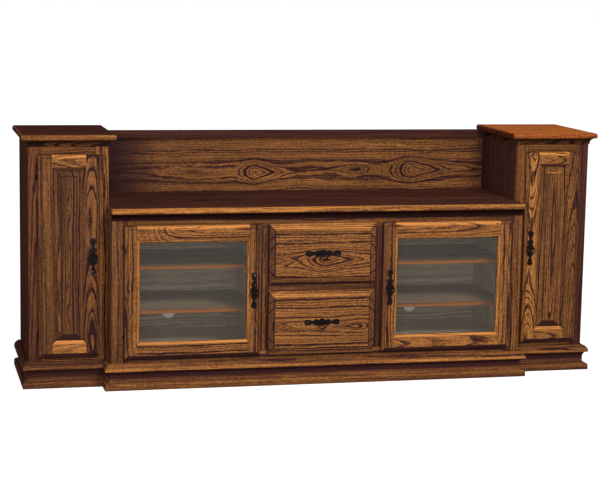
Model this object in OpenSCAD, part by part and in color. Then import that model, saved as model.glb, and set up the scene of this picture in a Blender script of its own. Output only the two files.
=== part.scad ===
// Entertainment wall unit: a low glazed console between two taller piers, with a
// back panel that closes the space above its counter.
// x runs along the width, y towards the back and z up from the floor.

/* [Console] */
// Width of the console between its outer side faces
console_w = 1524; // [1440:1:1680]
// Depth of the unit from the console's face frame to its back
console_d = 477; // [450:1:540]
// Height of the counter above the floor
console_h = 650; // [630:1:700]
// Thickness of the counter
counter_t = 20; // [18:1:26]
// How far the counter stands out in front of the face frame
counter_overhang = 26; // [23:1:32]
// Radius along the top of the counter's front edge
counter_top_r = 8; // [4:1:10]
// Radius along the underside of the counter's front edge
counter_low_r = 5; // [3:1:7]
// Height of the cove moulding under the counter
counter_crown_h = 24; // [18:1:28]
// How far the cove moulding stands out in front of the face frame
counter_crown_out = 20; // [14:1:22]

/* [Face frames] */
// Thickness of the face frames
frame_t = 19; // [16:1:24]
// Width of the console's outer face frame stiles
outer_stile_w = 58; // [50:1:70]
// Width of the stiles between the drawers and the glass doors
divider_stile_w = 55; // [50:1:66]
// Width of the opening that the drawers stand in
drawer_bay_w = 368; // [320:1:400]
// Width of the rail under the counter
top_rail_w = 56; // [50:1:70]
// Width of the rail between the two drawers
drawer_rail_w = 55; // [46:1:64]
// Height of the upper drawer's opening
upper_drawer_open = 189; // [170:1:200]
// Height of the cabinet floors above the room's floor
deck_h = 125; // [120:1:140]
// Width of the pier's face frame stiles
pier_stile_w = 46; // [42:1:52]
// Width of the rail above the pier's door
pier_top_rail_w = 64; // [56:1:76]

/* [Panels] */
// Thickness of the console's side panels
side_t = 19; // [16:1:22]
// Thickness of the console's inner dividers
divider_t = 16; // [14:1:19]
// Thickness of the pier's side panels
pier_side_t = 16; // [14:1:19]
// Thickness of the cabinet floors
deck_t = 16; // [12:1:19]
// Thickness of the back panels
back_t = 6; // [4:1:9]
// Diameter of the cable holes in the console's back
cable_hole_d = 50; // [36:1:60]
// Height of the cable holes above the cabinet floor
cable_hole_rise = 61; // [46:1:72]
// Open joint between two boards of one frame
glue_line = 0.12; // [0.1:0.01:0.2]

/* [Piers] */
// Width of each pier
pier_w = 282; // [262:1:340]
// Height of the piers
pier_h = 902; // [860:1:980]
// How far the piers stand back from the console's face frame
pier_setback = 78; // [60:1:110]
// Thickness of the pier's top board
pier_top_t = 19; // [17:1:25]
// How far the pier's top board stands out on three sides
pier_top_out = 25; // [22:1:32]
// Radius along the upper edge of the pier's top board
pier_top_r = 7; // [3:1:9]
// Radius along the lower edge of the pier's top board
pier_low_r = 5; // [3:1:7]
// Height of the crown moulding under the pier's top board
pier_crown_h = 23; // [18:1:30]
// How far the crown moulding stands out from the pier
pier_crown_out = 13; // [9:1:17]

/* [Bridge] */
// Height of the rail along the top of the bridge panel
bridge_rail_h = 30; // [22:1:45]
// Thickness of the rail along the top of the bridge panel
bridge_rail_t = 19; // [14:1:25]

/* [Base moulding] */
// Height of the whole base moulding
base_h = 94; // [84:1:104]
// How far the base moulding stands out at its widest
base_out = 24.5; // [20:0.5:30]
// How far the base moulding stands out at its waist
base_waist = 7; // [4:0.5:10]
// Height of the plinth, the lower half of the base moulding
plinth_h = 42; // [36:1:48]
// Height of the plinth's straight face
plinth_face_h = 16; // [10:1:20]

/* [Shelves] */
// Thickness of the shelves
shelf_t = 15; // [12:1:19]
// How far the shelves stand back behind the face frame
shelf_setback = 71; // [30:1:100]
// Side clearance of a shelf in its compartment
shelf_gap = 1.5; // [1:0.1:3]
// Height of the lower shelf's top above the cabinet floor
low_shelf_rise = 143; // [125:1:165]
// Height of the upper shelf's top above the cabinet floor
high_shelf_rise = 304; // [280:1:330]
// Height of a shelf support bracket
support_h = 12; // [8:1:16]
// Reach of a shelf support bracket under its shelf
support_reach = 8; // [6:1:12]
// Metal thickness of a shelf support bracket
support_t = 1.5; // [1:0.1:2.5]
// Width of a shelf support bracket
support_w = 10; // [6:1:14]

/* [Doors] */
// Thickness of the doors and drawer fronts
door_t = 19; // [18:1:23]
// Gap between the door backs and the face frame
door_gap = 2; // [1.8:0.1:3]
// How far doors and drawer fronts lap over the face frame
overlay = 12.7; // [9:0.1:15]
// Width of the rounded edge round the outside of a door's face
door_edge_w = 10; // [6:0.5:12]
// Depth of that rounded edge
door_edge_d = 6; // [4:0.5:8]
// Depth of the small step between the rounded edge and the face
door_edge_step = 1.2; // [0.8:0.1:2]
// Width of the glass door's stiles
glass_stile_w = 53; // [46:1:64]
// Width of the glass door's rails
glass_rail_w = 59; // [50:1:70]
// Width of the pier door's stiles
pier_door_stile_w = 60; // [54:1:66]
// Width of the pier door's upper rail
pier_door_top_w = 55; // [48:1:66]
// Width of the pier door's lower rail
pier_door_low_w = 58; // [50:1:70]
// Width of the rounded moulding round the glass
glass_stick_w = 9; // [6:0.5:11]
// Width of the rounded moulding round the pier door's panel
panel_stick_w = 12; // [8:0.5:14]
// Depth of the rounded moulding round a door's opening
stick_d = 5; // [3:0.5:6]
// Depth from the door's face to the glass or to the panel's groove
recess_d = 7; // [6.5:0.1:8]
// Width of the rebate that the glass sits in
rebate_w = 9; // [7:0.5:11]
// Thickness of the glass
glass_t = 3; // [2.5:0.1:5]
// Width of the groove that the panel's tongue sits in
groove_w = 6; // [5:0.1:7]
// Depth of the groove that the panel's tongue sits in
groove_d = 9; // [7:0.5:12]
// Width of the bevel round the pier door's raised field
panel_bevel_w = 23; // [16:1:28]
// Depth of the raised field below the door's face
field_sink = 2; // [1:0.1:3]

/* [Drawers] */
// Width of the bevel round a drawer front's raised field
drawer_bevel_w = 22; // [16:1:28]
// Thickness of a drawer front at its outer edge
drawer_edge_t = 12; // [9:0.5:14]
// Depth of the drawer boxes
drawer_l = 400; // [330:1:410]
// Thickness of the drawer sides
drawer_side_t = 12; // [10:1:15]
// Thickness of the drawer bottoms
drawer_bottom_t = 5; // [3:0.5:7]
// Height of a drawer box above the lower edge of its opening
drawer_lift = 12; // [11:1:16]
// Clearance over a drawer box at the top of its opening
drawer_headroom = 13; // [8:1:20]
// Width of the slide on each side of a drawer
slide_w = 12.7; // [12.5:0.1:14]
// Metal thickness of the slides
slide_t = 1.2; // [1:0.1:1.5]
// Running gap between a glide pad and its track
glide_gap = 0.3; // [0.2:0.05:0.5]

/* [Hinges] */
// Distance of a hinge's centre from the end of its door
hinge_inset = 78; // [60:1:100]
// Height of a hinge leaf
leaf_h = 34; // [26:1:44]
// Width of a hinge leaf
leaf_w = 11; // [9:0.5:12]
// Metal thickness of a hinge leaf
leaf_t = 0.8; // [0.6:0.05:0.8]
// Radius of a hinge knuckle
knuckle_r = 3.2; // [2.8:0.1:3.6]
// Length of each of the three knuckles
knuckle_l = 5; // [4:0.5:7]
// Radius of a hinge pin
pin_r = 1.5; // [1.2:0.1:1.7]
// Running clearance between a pin and its knuckle
pin_gap = 0.05; // [0.03:0.01:0.08]
// Clearance round a knuckle
knuckle_gap = 0.4; // [0.35:0.05:0.6]

/* [Pulls] */
// Length of a pull's back plate
pull_l = 132; // [110:1:150]
// Radius of the lobes at the ends of the plate
end_lobe_r = 11; // [9:0.5:12]
// Radius of the lobes between the middle and the ends
mid_lobe_r = 11.5; // [10:0.5:13]
// Distance of those lobes from the middle
mid_lobe_at = 22; // [19:1:25]
// Radius of the lobe in the middle
centre_lobe_r = 14; // [12:0.5:15]
// Width of the plate's neck
neck_w = 9; // [6:0.5:12]
// Thickness of the plate
plate_t = 1.4; // [1:0.1:2]
// Height of the raised tier on the plate
tier_t = 0.8; // [0.5:0.1:1.2]
// How far the raised tier stands in from the plate's edge
tier_inset = 2; // [1:0.1:2.5]
// Distance from the door's face to the axis that the ring swings on
ring_out = 11; // [10:0.5:13]
// Height of that axis above the middle of the plate
ring_rise = 6; // [4:0.5:8]
// Radius of the ring to the middle of its wire
ring_r = 14; // [12:0.5:17]
// Radius of the ring's wire
wire_r = 2.2; // [1.8:0.1:2.4]
// Radius of the drop at the foot of the ring
drop_r = 3.4; // [2.8:0.1:3.8]
// Clearance of the ring's wire in its eye
eye_gap = 0.6; // [0.5:0.05:0.8]
// Wall of the eye
eye_wall = 2; // [1.6:0.1:2.5]
// Width of the eye along its axis
eye_w = 5; // [4:0.5:5.5]
// Radius of the rosette at the foot of the eye
rosette_r = 5.4; // [4:0.1:5.4]

/* [Hidden] */
$fn = 48;

// Colours of the finishes
oak = "#7a4a26";
oak_light = "#8c5730";
oak_dark = "#4a2a1a";
oak_field = "#845029";
bronze = "#2c2320";
steel = "#b9bcc0";
glass_tint = [0.55, 0.6, 0.66, 0.4];
drawer_wood = "#b08d5f";

// Console, across
x_side = console_w / 2;
x_side_in = x_side - side_t;
x_stile = x_side - outer_stile_w;
x_bay = drawer_bay_w / 2;
x_divider_stile = x_bay + divider_stile_w;
x_divider_in = x_bay + (divider_stile_w - divider_t) / 2;
x_divider_out = x_divider_in + divider_t;

// Console, up
z_under = console_h - counter_t;
z_top_rail = z_under - top_rail_w;
z_drawer_rail_top = z_top_rail - upper_drawer_open;
z_drawer_rail_low = z_drawer_rail_top - drawer_rail_w;

// Front to back
y_back = console_d;
y_panel = y_back - back_t;
y_pier = pier_setback;
y_pier_in = y_pier + frame_t;
y_bridge_rail = y_panel - bridge_rail_t;

// Piers, across and up
x_pier = x_side;
x_pier_out = x_pier + pier_w;
x_pier_mid = x_pier + pier_w / 2;
x_pier_open = x_pier + pier_stile_w;
x_pier_open_out = x_pier_out - pier_stile_w;
z_slab = pier_h - pier_top_t;
z_pier_rail = z_slab - pier_top_rail_w;

// Doors
glass_door_x = [x_divider_stile - overlay, x_stile + overlay];
glass_door_z = [deck_h - overlay, z_top_rail + overlay];
pier_door_x = [x_pier_open - overlay, x_pier_open_out + overlay];
pier_door_z = [deck_h - overlay, z_pier_rail + overlay];
door_lip = door_gap + door_t;

// Drawers
upper_open_z = [z_drawer_rail_top, z_top_rail];
lower_open_z = [deck_h, z_drawer_rail_low];
drawer_box_x = x_bay - slide_w;
drawer_groove_d = 5;
drawer_groove_rise = 10;
box_front_y = -door_gap;
track_y = frame_t + 2;
track_low = -4;
track_high = 22;
track_reach = 10;
track_lip = 8;
flange_top = 14;
flange_reach = slide_w - 2.5;
slide_web = slide_w - slide_t;
ledge_w = 12;
glide_l = 14;
block_low = -9;
block_high = 27;
block_l = drawer_l + 10;

// Hinges and pulls
hinge_out = knuckle_r + knuckle_gap;
leaf_start = hinge_out + 0.6;
knuckle_space = 0.2;
pin_head_r = pin_r + 0.5;
eye_bore_r = wire_r + eye_gap;
eye_r = eye_bore_r + eye_wall;
stem_r = eye_w / 2 - 0.4;
plate_core = plate_t / 2;
rosette_t = 2;

// Finish of edges and profiles
arc_steps = 6;
stick_step = 1.2;
panel_slack = 0.2;
panel_float = 1;
field_step = 2;
support_inset = 40;
pier_shelf_count = 3;
pier_shelf_setback = 30;

// The origin is midway between the foremost ring eye and the back of the unit
y_front = -max(door_lip + ring_out + eye_r, counter_overhang, base_out);
y_middle = (y_front + y_back) / 2;

// Points of an elliptical arc round (cx, cy) from angle a0 to angle a1
function arc(cx, cy, rx, ry, a0, a1) = [
    for (i = [0:arc_steps])
        let (a = a0 + (a1 - a0) * i / arc_steps)
            [cx + rx * cos(a), cy + ry * sin(a)]
];

function reversed(points) = [for (i = [len(points) - 1:-1:0]) points[i]];
function swapped(points) = [for (p = points) [p[1], p[0]]];
function mirrored(points, w) = [for (p = reversed(points)) [w - p[0], p[1]]];

// Outline of a board's front edge, from its lower corner to its upper one,
// with the outermost point at zero and the board on the positive side
function front_edge(t, low_r, high_r) = concat(
    low_r > 0 ? arc(low_r, low_r, low_r, low_r, -90, -180) : [[0, 0]],
    high_r > 0 ? arc(high_r, t - high_r, high_r, high_r, 180, 90) : [[0, t]]
);

// Section across a board whose two long edges are alike
function both_edges(rim, w) = concat(rim, mirrored(rim, w));

// Outer edge of a door from its face to its back, with a small step at the face
function door_rim() = concat(
    [[door_edge_w, 0]],
    arc(door_edge_w, door_edge_step + door_edge_d, door_edge_w, door_edge_d, -90, -180),
    [[0, door_t]]
);

// Rounded inner edge, stick_w wide, of a door's stile or rail that is w wide
function sticking(w, stick_w) =
    arc(w - stick_w, stick_d, stick_w, stick_d - stick_step, -90, 0);

// Section of a glass door's stile or rail, outer edge at zero, face at zero
function glazed_section(w) = concat(
    [[0, 0], [w - glass_stick_w, 0]],
    sticking(w, glass_stick_w),
    [[w, recess_d], [w - rebate_w, recess_d], [w - rebate_w, door_t], [0, door_t]]
);

// Section of a panelled door's stile or rail
function grooved_section(w) = concat(
    [[0, 0], [w - panel_stick_w, 0]],
    sticking(w, panel_stick_w),
    [[w, recess_d], [w - groove_d, recess_d], [w - groove_d, recess_d + groove_w],
        [w, recess_d + groove_w], [w, door_t], [0, door_t]]
);

// What a rail loses where it is coped over a stile's rounded edge
function cope_section(w, stick_w) = concat(
    sticking(w, stick_w),
    [[w, door_t + 1], [w - stick_w - 1, door_t + 1], [w - stick_w - 1, stick_step]]
);

// Mouldings in section: y is negative outwards, and z is up
function cove_section(h, out) = concat(
    [[0, 0], [-out, 0], [-out, -h / 6]],
    arc(1 - out, -h * 5 / 6, out * 3 / 4 - 1, h * 2 / 3, 90, 0),
    [[-out / 4, -h], [0, -h]]
);

cap_nose = base_h - plinth_h - 24;
cap_waist_top = 6;
cap_lip = 2;

function cap_section() = concat(
    [[0, 0], [-base_waist, 0]],
    arc(1 - base_out, cap_waist_top, base_out - 1 - base_waist,
        cap_nose - cap_waist_top - cap_lip, 0, 90),
    arc(-2, cap_nose, base_out - 2, base_h - plinth_h - cap_nose, 180, 90),
    [[0, base_h - plinth_h]]
);

plinth_bead_r = 8;
plinth_neck_h = plinth_h - 8;

function plinth_section() = concat(
    [[0, 0], [-base_out, 0]],
    arc(plinth_bead_r - base_out, plinth_face_h, plinth_bead_r,
        min(plinth_bead_r, (plinth_neck_h - plinth_face_h) / 2), 180, 90),
    arc(plinth_bead_r - base_out, plinth_neck_h, base_out - plinth_bead_r - base_waist,
        plinth_neck_h - plinth_face_h
            - min(plinth_bead_r, (plinth_neck_h - plinth_face_h) / 2), -90, 0),
    [[-base_waist, plinth_h - glue_line], [0, plinth_h - glue_line]]
);

// Moves the model so that its origin is midway between front and back
module place() {
    translate([0, -y_middle, 0]) children();
}

// Draws its children on the right, or mirrored on the left
module on_side(side) {
    mirror([side < 0 ? 1 : 0, 0, 0]) children();
}

module both_sides() {
    for (side = [-1, 1]) on_side(side) children();
}

// A board between low and high corners, each axis given as [low, high]
module board(x, y, z) {
    translate([x[0], y[0], z[0]])
        cube([x[1] - x[0], y[1] - y[0], z[1] - z[0]]);
}

// Extrudes a section drawn in y and z along x
module along_x(length) {
    rotate([90, 0, 90]) linear_extrude(length) children();
}

// Extrudes a section drawn in x and z along y
module along_y(length) {
    translate([0, length, 0]) rotate([90, 0, 0]) linear_extrude(length) children();
}

// A run of moulding along x from zero, mitred outwards at the ends that are 1
module moulding_run(length, section, out, start_mitre, end_mitre) {
    tall = 4 * base_h;
    intersection() {
        translate([-out, 0, 0]) along_x(length + 2 * out) polygon(section);
        translate([0, 0, -tall / 2]) linear_extrude(tall) polygon([
            [start_mitre * glue_line, 0],
            [length - end_mitre * glue_line, 0],
            [length + end_mitre * (out - glue_line), -out],
            [-start_mitre * (out - glue_line), -out]
        ]);
    }
}

// The same run turned to lie along the right side face, going back from its corner
module side_run(x, y, length, section, out) {
    translate([x, y, 0]) rotate([0, 0, 90]) moulding_run(length, section, out, 1, 0);
}

// A board with rounded front and side edges and a square back
module edged_slab(w, d, t, low_r, high_r) {
    rim = front_edge(t, low_r, high_r);
    intersection() {
        translate([-w / 2, 0, 0]) along_x(w) polygon(concat(rim, [[d, t], [d, 0]]));
        translate([-w / 2, 0, 0]) along_y(d) polygon(both_edges(rim, w));
    }
}

// The outer shape of a door: centred in x, face at y = 0, rounded round its front
module door_blank(w, h) {
    rim = door_rim();
    intersection() {
        translate([-w / 2, 0, 0]) linear_extrude(h) polygon(both_edges(rim, w));
        translate([-w / 2, 0, 0]) along_x(w)
            polygon(swapped(both_edges(rim, h)));
    }
}

module door_rail(w, h, stile_w, stick_w, section) {
    run = w - 2 * (stile_w - stick_w + glue_line);
    difference() {
        translate([-run / 2, 0, 0]) along_x(run) polygon(swapped(section));
        for (end = [0, 1])
            mirror([end, 0, 0])
                translate([glue_line - w / 2, -glue_line, -1])
                    linear_extrude(h) polygon(cope_section(stile_w, stick_w));
    }
}

// Two stiles and two coped rails, each a separate board
module door_frame(w, h, stile_w, stick_w, stile_section, low_section, high_section) {
    for (end = [0, 1])
        mirror([end, 0, 0])
            intersection() {
                door_blank(w, h);
                translate([-w / 2, 0, 0]) linear_extrude(h) polygon(stile_section);
            }
    intersection() {
        door_blank(w, h);
        door_rail(w, h, stile_w, stick_w, low_section);
    }
    intersection() {
        door_blank(w, h);
        translate([0, 0, h]) mirror([0, 0, 1])
            door_rail(w, h, stile_w, stick_w, high_section);
    }
}

// A raised panel: a bevel rises from edge_y to field_y round a flat field
function raised_rim(inset, bevel_w, edge_y, field_y, low_y) = [
    [0, low_y],
    [0, edge_y],
    [inset, edge_y],
    [inset + bevel_w, field_y + field_step],
    [inset + bevel_w, field_y]
];

module raised_board(w, h, inset, bevel_w, edge_y, field_y, low_y) {
    rim = raised_rim(inset, bevel_w, edge_y, field_y, low_y);
    translate([-w / 2, 0, 0]) intersection() {
        linear_extrude(h) polygon(both_edges(rim, w));
        along_x(w) polygon(swapped(both_edges(rim, h)));
    }
}

// Face frame, sides and back of the console

module counter_top() {
    deep = y_panel + counter_overhang;
    color(oak_light) place()
        translate([-x_side, -counter_overhang, z_under]) along_x(console_w)
            polygon(concat(front_edge(counter_t, counter_low_r, counter_top_r),
                [[deep, counter_t], [deep, 0]]));
}

module counter_crown() {
    color(oak_dark) place()
        translate([-x_side, 0, z_under]) along_x(console_w)
            polygon(cove_section(counter_crown_h, counter_crown_out));
}

module console_frame_stiles() {
    color(oak) place() both_sides() {
        board([x_stile, x_side], [0, frame_t], [0, z_under]);
        board([x_bay, x_divider_stile], [0, frame_t], [deck_h, z_top_rail]);
    }
}

module console_frame_rails() {
    color(oak) place() {
        board([-x_stile, x_stile], [0, frame_t], [z_top_rail, z_under]);
        board([-x_stile, x_stile], [0, frame_t], [0, deck_h]);
        board([-x_bay, x_bay], [0, frame_t], [z_drawer_rail_low, z_drawer_rail_top]);
    }
}

module console_sides() {
    color(oak) place() both_sides()
        board([x_side_in, x_side], [frame_t, y_back], [0, z_under]);
}

// Inner dividers, and the blocks that bring the drawer runners out to the opening
module console_dividers() {
    color(oak_dark) place() both_sides() {
        board([x_divider_in, x_divider_out], [frame_t, y_panel], [deck_h, z_under]);
        for (z = [upper_open_z[0], lower_open_z[0]])
            board([x_bay, x_divider_in - glue_line], [frame_t, frame_t + block_l],
                [z + drawer_lift + block_low, z + drawer_lift + block_high]);
    }
}

module cabinet_floors() {
    color(oak) place() {
        board([-x_side_in, x_side_in], [frame_t, y_panel], [deck_h - deck_t, deck_h]);
        both_sides()
            board([x_pier + pier_side_t, x_pier_out - pier_side_t], [y_pier_in, y_panel],
                [deck_h - deck_t, deck_h]);
    }
}

// Left, middle and right backs, the outer two with a cable hole low down
module console_back_panels() {
    low = deck_h - deck_t;
    hole_x = (x_divider_out + x_side_in) / 2;
    joint_x = (x_divider_in + x_divider_out) / 2;
    color(oak) place() {
        board([glue_line - joint_x, joint_x - glue_line], [y_panel, y_back], [low, z_under]);
        both_sides() difference() {
            board([joint_x, x_side_in], [y_panel, y_back], [low, z_under]);
            translate([hole_x, y_panel - 1, deck_h + cable_hole_rise])
                rotate([-90, 0, 0]) cylinder(h = back_t + 2, d = cable_hole_d);
        }
    }
}

// Base mouldings

module pier_base_run(section) {
    translate([x_pier, y_pier, 0]) moulding_run(pier_w, section, base_out, 0, 1);
}

// The space in front of the pier's moulding, bounded by a section's outline
function coped_space(section) =
    let (low = section[1], high = section[len(section) - 2])
        concat(
            [[low[0] - glue_line, low[1] - 1]],
            [for (i = [1:len(section) - 2]) section[i] - [glue_line, 0]],
            [[high[0] - glue_line, high[1] + 1], [-2 * y_pier, high[1] + 1],
                [-2 * y_pier, low[1] - 1]]
        );

// The front run, and two returns coped against the piers' mouldings
module console_base_run(section) {
    translate([-x_side, 0, 0]) moulding_run(console_w, section, base_out, 1, 1);
    both_sides() intersection() {
        side_run(x_side, 0, y_pier, section, base_out);
        translate([x_side - 1, y_pier, 0]) along_x(base_out + 2)
            polygon(coped_space(section));
    }
}

module console_base_cap() {
    color(oak) place() translate([0, 0, plinth_h]) console_base_run(cap_section());
}

module console_base_plinth() {
    color(oak) place() console_base_run(plinth_section());
}

module pier_base(side) {
    deep = y_back - y_pier;
    color(oak) place() on_side(side) {
        pier_base_run(plinth_section());
        side_run(x_pier_out, y_pier, deep, plinth_section(), base_out);
        translate([0, 0, plinth_h]) {
            pier_base_run(cap_section());
            side_run(x_pier_out, y_pier, deep, cap_section(), base_out);
        }
    }
}

module left_pier_base() { pier_base(-1); }
module right_pier_base() { pier_base(1); }

// Shelves and their supports

function pier_shelf_z(i) =
    let (space = (z_slab - deck_h - pier_shelf_count * shelf_t) / (pier_shelf_count + 1))
        deck_h + space + i * (space + shelf_t);

module console_shelves() {
    color(oak_light) place() both_sides()
        for (rise = [low_shelf_rise, high_shelf_rise])
            board([x_divider_out + shelf_gap, x_side_in - shelf_gap],
                [frame_t + shelf_setback, y_panel - shelf_gap],
                [deck_h + rise - shelf_t, deck_h + rise]);
}

module pier_shelves() {
    color(oak) place() both_sides()
        for (i = [0:pier_shelf_count - 1])
            board([x_pier + pier_side_t + shelf_gap, x_pier_out - pier_side_t - shelf_gap],
                [y_pier_in + pier_shelf_setback, y_panel - shelf_gap],
                [pier_shelf_z(i), pier_shelf_z(i) + shelf_t]);
}

// An angle bracket on the right-hand face of a panel, its top at z = 0
module shelf_support() {
    along_y(support_w) polygon([[0, 0], [support_reach, 0], [support_reach, -support_t],
        [support_t, -support_t], [support_t, -support_h], [0, -support_h]]);
}

module shelf_support_set(x, y, z) {
    for (end_y = [y[0] + support_inset, y[1] - support_inset - support_w]) {
        translate([x[0], end_y, z]) shelf_support();
        translate([x[1], end_y, z]) mirror([1, 0, 0]) shelf_support();
    }
}

module shelf_supports() {
    color(steel) place() both_sides() {
        for (rise = [low_shelf_rise, high_shelf_rise])
            shelf_support_set([x_divider_out, x_side_in],
                [frame_t + shelf_setback, y_panel], deck_h + rise - shelf_t);
        for (i = [0:pier_shelf_count - 1])
            shelf_support_set([x_pier + pier_side_t, x_pier_out - pier_side_t],
                [y_pier_in + pier_shelf_setback, y_panel], pier_shelf_z(i));
    }
}

// Bridge above the counter; its panel comes up behind the counter's back edge

module bridge_panel() {
    color(oak) place() board([-x_side, x_side], [y_panel, y_back], [z_under, z_slab]);
}

module bridge_rail() {
    color(oak_light) place()
        board([-x_side, x_side], [y_bridge_rail, y_panel], [z_slab - bridge_rail_h, z_slab]);
}

// Piers

module pier_back_panels() {
    color(oak) place() both_sides()
        board([x_pier + pier_side_t, x_pier_out - pier_side_t], [y_panel, y_back],
            [deck_h - deck_t, z_slab]);
}

module pier_top(side) {
    color(oak_light) place() on_side(side)
        translate([x_pier_mid, y_pier - pier_top_out, z_slab])
            edged_slab(pier_w + 2 * pier_top_out, y_back - y_pier + pier_top_out, pier_top_t,
                pier_low_r, pier_top_r);
}

// The crown goes round the front and both sides; the inner side ends at the bridge rail
module pier_crown(side) {
    section = cove_section(pier_crown_h, pier_crown_out);
    color(oak) place() on_side(side) translate([0, 0, z_slab]) {
        translate([x_pier, y_pier, 0]) moulding_run(pier_w, section, pier_crown_out, 1, 1);
        side_run(x_pier_out, y_pier, y_back - y_pier, section, pier_crown_out);
        translate([2 * x_pier, 0, 0]) mirror([1, 0, 0])
            side_run(x_pier, y_pier, y_bridge_rail - y_pier, section, pier_crown_out);
    }
}

module pier_sides(side) {
    color(oak) place() on_side(side)
        for (x = [x_pier, x_pier_out - pier_side_t])
            board([x, x + pier_side_t], [y_pier_in, y_back], [0, z_slab]);
}

module pier_frame(side) {
    rail_x = [x_pier_open + glue_line, x_pier_open_out - glue_line];
    color(oak) place() on_side(side) {
        board([x_pier, x_pier_open], [y_pier, y_pier_in], [0, z_slab]);
        board([x_pier_open_out, x_pier_out], [y_pier, y_pier_in], [0, z_slab]);
        board(rail_x, [y_pier, y_pier_in], [0, deck_h]);
        board(rail_x, [y_pier, y_pier_in], [z_pier_rail, z_slab]);
    }
}

module left_pier_top() { pier_top(-1); }
module left_pier_crown() { pier_crown(-1); }
module left_pier_sides() { pier_sides(-1); }
module left_pier_frame() { pier_frame(-1); }
module right_pier_top() { pier_top(1); }
module right_pier_crown() { pier_crown(1); }
module right_pier_sides() { pier_sides(1); }
module right_pier_frame() { pier_frame(1); }

// Hinges: the axis is at the origin, and the door lies towards negative x

module knuckle(z) {
    translate([0, 0, z]) cylinder(h = knuckle_l, r = knuckle_r);
}

module frame_leaf() {
    board([-leaf_start - leaf_w, -leaf_start], [hinge_out - leaf_t, hinge_out],
        [-leaf_h / 2, leaf_h / 2]);
    for (z = [knuckle_l / 2 + knuckle_space, -knuckle_l * 3 / 2 - knuckle_space]) {
        knuckle(z);
        board([-leaf_start, 0], [hinge_out - leaf_t, hinge_out], [z, z + knuckle_l]);
    }
    translate([0, 0, -knuckle_l * 3 / 2]) cylinder(h = knuckle_l * 3, r = pin_r);
    for (end = [-1, 1])
        translate([0, 0, end * (knuckle_l * 3 / 2 + knuckle_space)]) sphere(r = pin_head_r);
}

module door_leaf() {
    leaf_y = hinge_out - door_gap;
    difference() {
        union() {
            board([-leaf_start - leaf_w, -leaf_start], [leaf_y, leaf_y + leaf_t],
                [-leaf_h / 2, leaf_h / 2]);
            board([-leaf_start, 0], [leaf_y, leaf_y + leaf_t],
                [-knuckle_l / 2, knuckle_l / 2]);
            knuckle(-knuckle_l / 2);
        }
        translate([0, 0, -knuckle_l]) cylinder(h = 2 * knuckle_l, r = pin_r + pin_gap);
    }
}

// Draws its children at both hinges of a door on the right-hand side
module at_hinges(x, y, z) {
    for (hinge_z = [z[0] + hinge_inset, z[1] - hinge_inset])
        translate([x[1] + hinge_out, y - hinge_out, hinge_z]) children();
}

module frame_hinge_leaves() {
    color(bronze) place() both_sides() {
        at_hinges(glass_door_x, 0, glass_door_z) frame_leaf();
        at_hinges(pier_door_x, y_pier, pier_door_z) frame_leaf();
    }
}

// Pulls: the middle of the plate's back is at the origin, outwards is negative y

module plate_outline(inset) {
    for (end = [-1, 1]) {
        translate([0, end * (pull_l / 2 - end_lobe_r)]) circle(end_lobe_r - inset);
        translate([0, end * (pull_l / 2 - end_lobe_r * 9 / 5)])
            circle(end_lobe_r * 4 / 5 - inset);
        translate([0, end * mid_lobe_at]) circle(mid_lobe_r - inset);
    }
    circle(centre_lobe_r - inset);
    square([neck_w - 2 * inset, pull_l - 2 * end_lobe_r], center = true);
}

module pull_plate(turn) {
    difference() {
        union() {
            rotate([0, turn, 0]) rotate([90, 0, 0]) {
                linear_extrude(plate_t) plate_outline(0);
                translate([0, 0, plate_core])
                    linear_extrude(plate_t + tier_t - plate_core) plate_outline(tier_inset);
            }
            translate([0, -plate_core, ring_rise]) rotate([90, 0, 0]) {
                cylinder(h = plate_t + tier_t + rosette_t - plate_core, r = rosette_r);
                cylinder(h = ring_out - plate_core, r = stem_r);
            }
            translate([-eye_w / 2, -ring_out, ring_rise]) rotate([0, 90, 0])
                cylinder(h = eye_w, r = eye_r);
        }
        translate([-eye_w, -ring_out, ring_rise]) rotate([0, 90, 0])
            cylinder(h = 2 * eye_w, r = eye_bore_r);
    }
}

module pull_ring() {
    translate([0, -ring_out, ring_rise - ring_r]) {
        rotate([90, 0, 0]) rotate_extrude() translate([ring_r, 0]) circle(wire_r);
        translate([0, 0, -ring_r]) rotate([0, 0, 90]) sphere(r = drop_r);
    }
}

// Glass doors

module at_glass_door(side) {
    color_x = (glass_door_x[0] + glass_door_x[1]) / 2;
    place() on_side(side) translate([color_x, -door_lip, glass_door_z[0]]) children();
}

glass_door_w = glass_door_x[1] - glass_door_x[0];
glass_door_h = glass_door_z[1] - glass_door_z[0];
sight_w = glass_door_w - 2 * glass_stile_w;
sight_h = glass_door_h - 2 * glass_rail_w;

module glass_door_frame(side) {
    color(oak_field) at_glass_door(side)
        door_frame(glass_door_w, glass_door_h, glass_stile_w, glass_stick_w,
            glazed_section(glass_stile_w), glazed_section(glass_rail_w),
            glazed_section(glass_rail_w));
}

module glass_pane(side) {
    lap = rebate_w - panel_float;
    color(glass_tint) at_glass_door(side)
        board([-sight_w / 2 - lap, sight_w / 2 + lap], [recess_d, recess_d + glass_t],
            [glass_rail_w - lap, glass_rail_w + sight_h + lap]);
}

// Four strips that hold the glass in its rebate
module glass_stops(side) {
    deep = [recess_d + glass_t, door_t];
    high = glass_rail_w + sight_h;
    half = sight_w / 2;
    color(oak_dark) at_glass_door(side) {
        board([-half - rebate_w, half + rebate_w], deep, [glass_rail_w - rebate_w, glass_rail_w]);
        board([-half - rebate_w, half + rebate_w], deep, [high, high + rebate_w]);
        for (end = [0, 1])
            mirror([end, 0, 0])
                board([half, half + rebate_w], deep, [glass_rail_w + glue_line, high - glue_line]);
    }
}

module glass_door_hinges(side) {
    color(bronze) place() on_side(side) at_hinges(glass_door_x, 0, glass_door_z) door_leaf();
}

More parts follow.
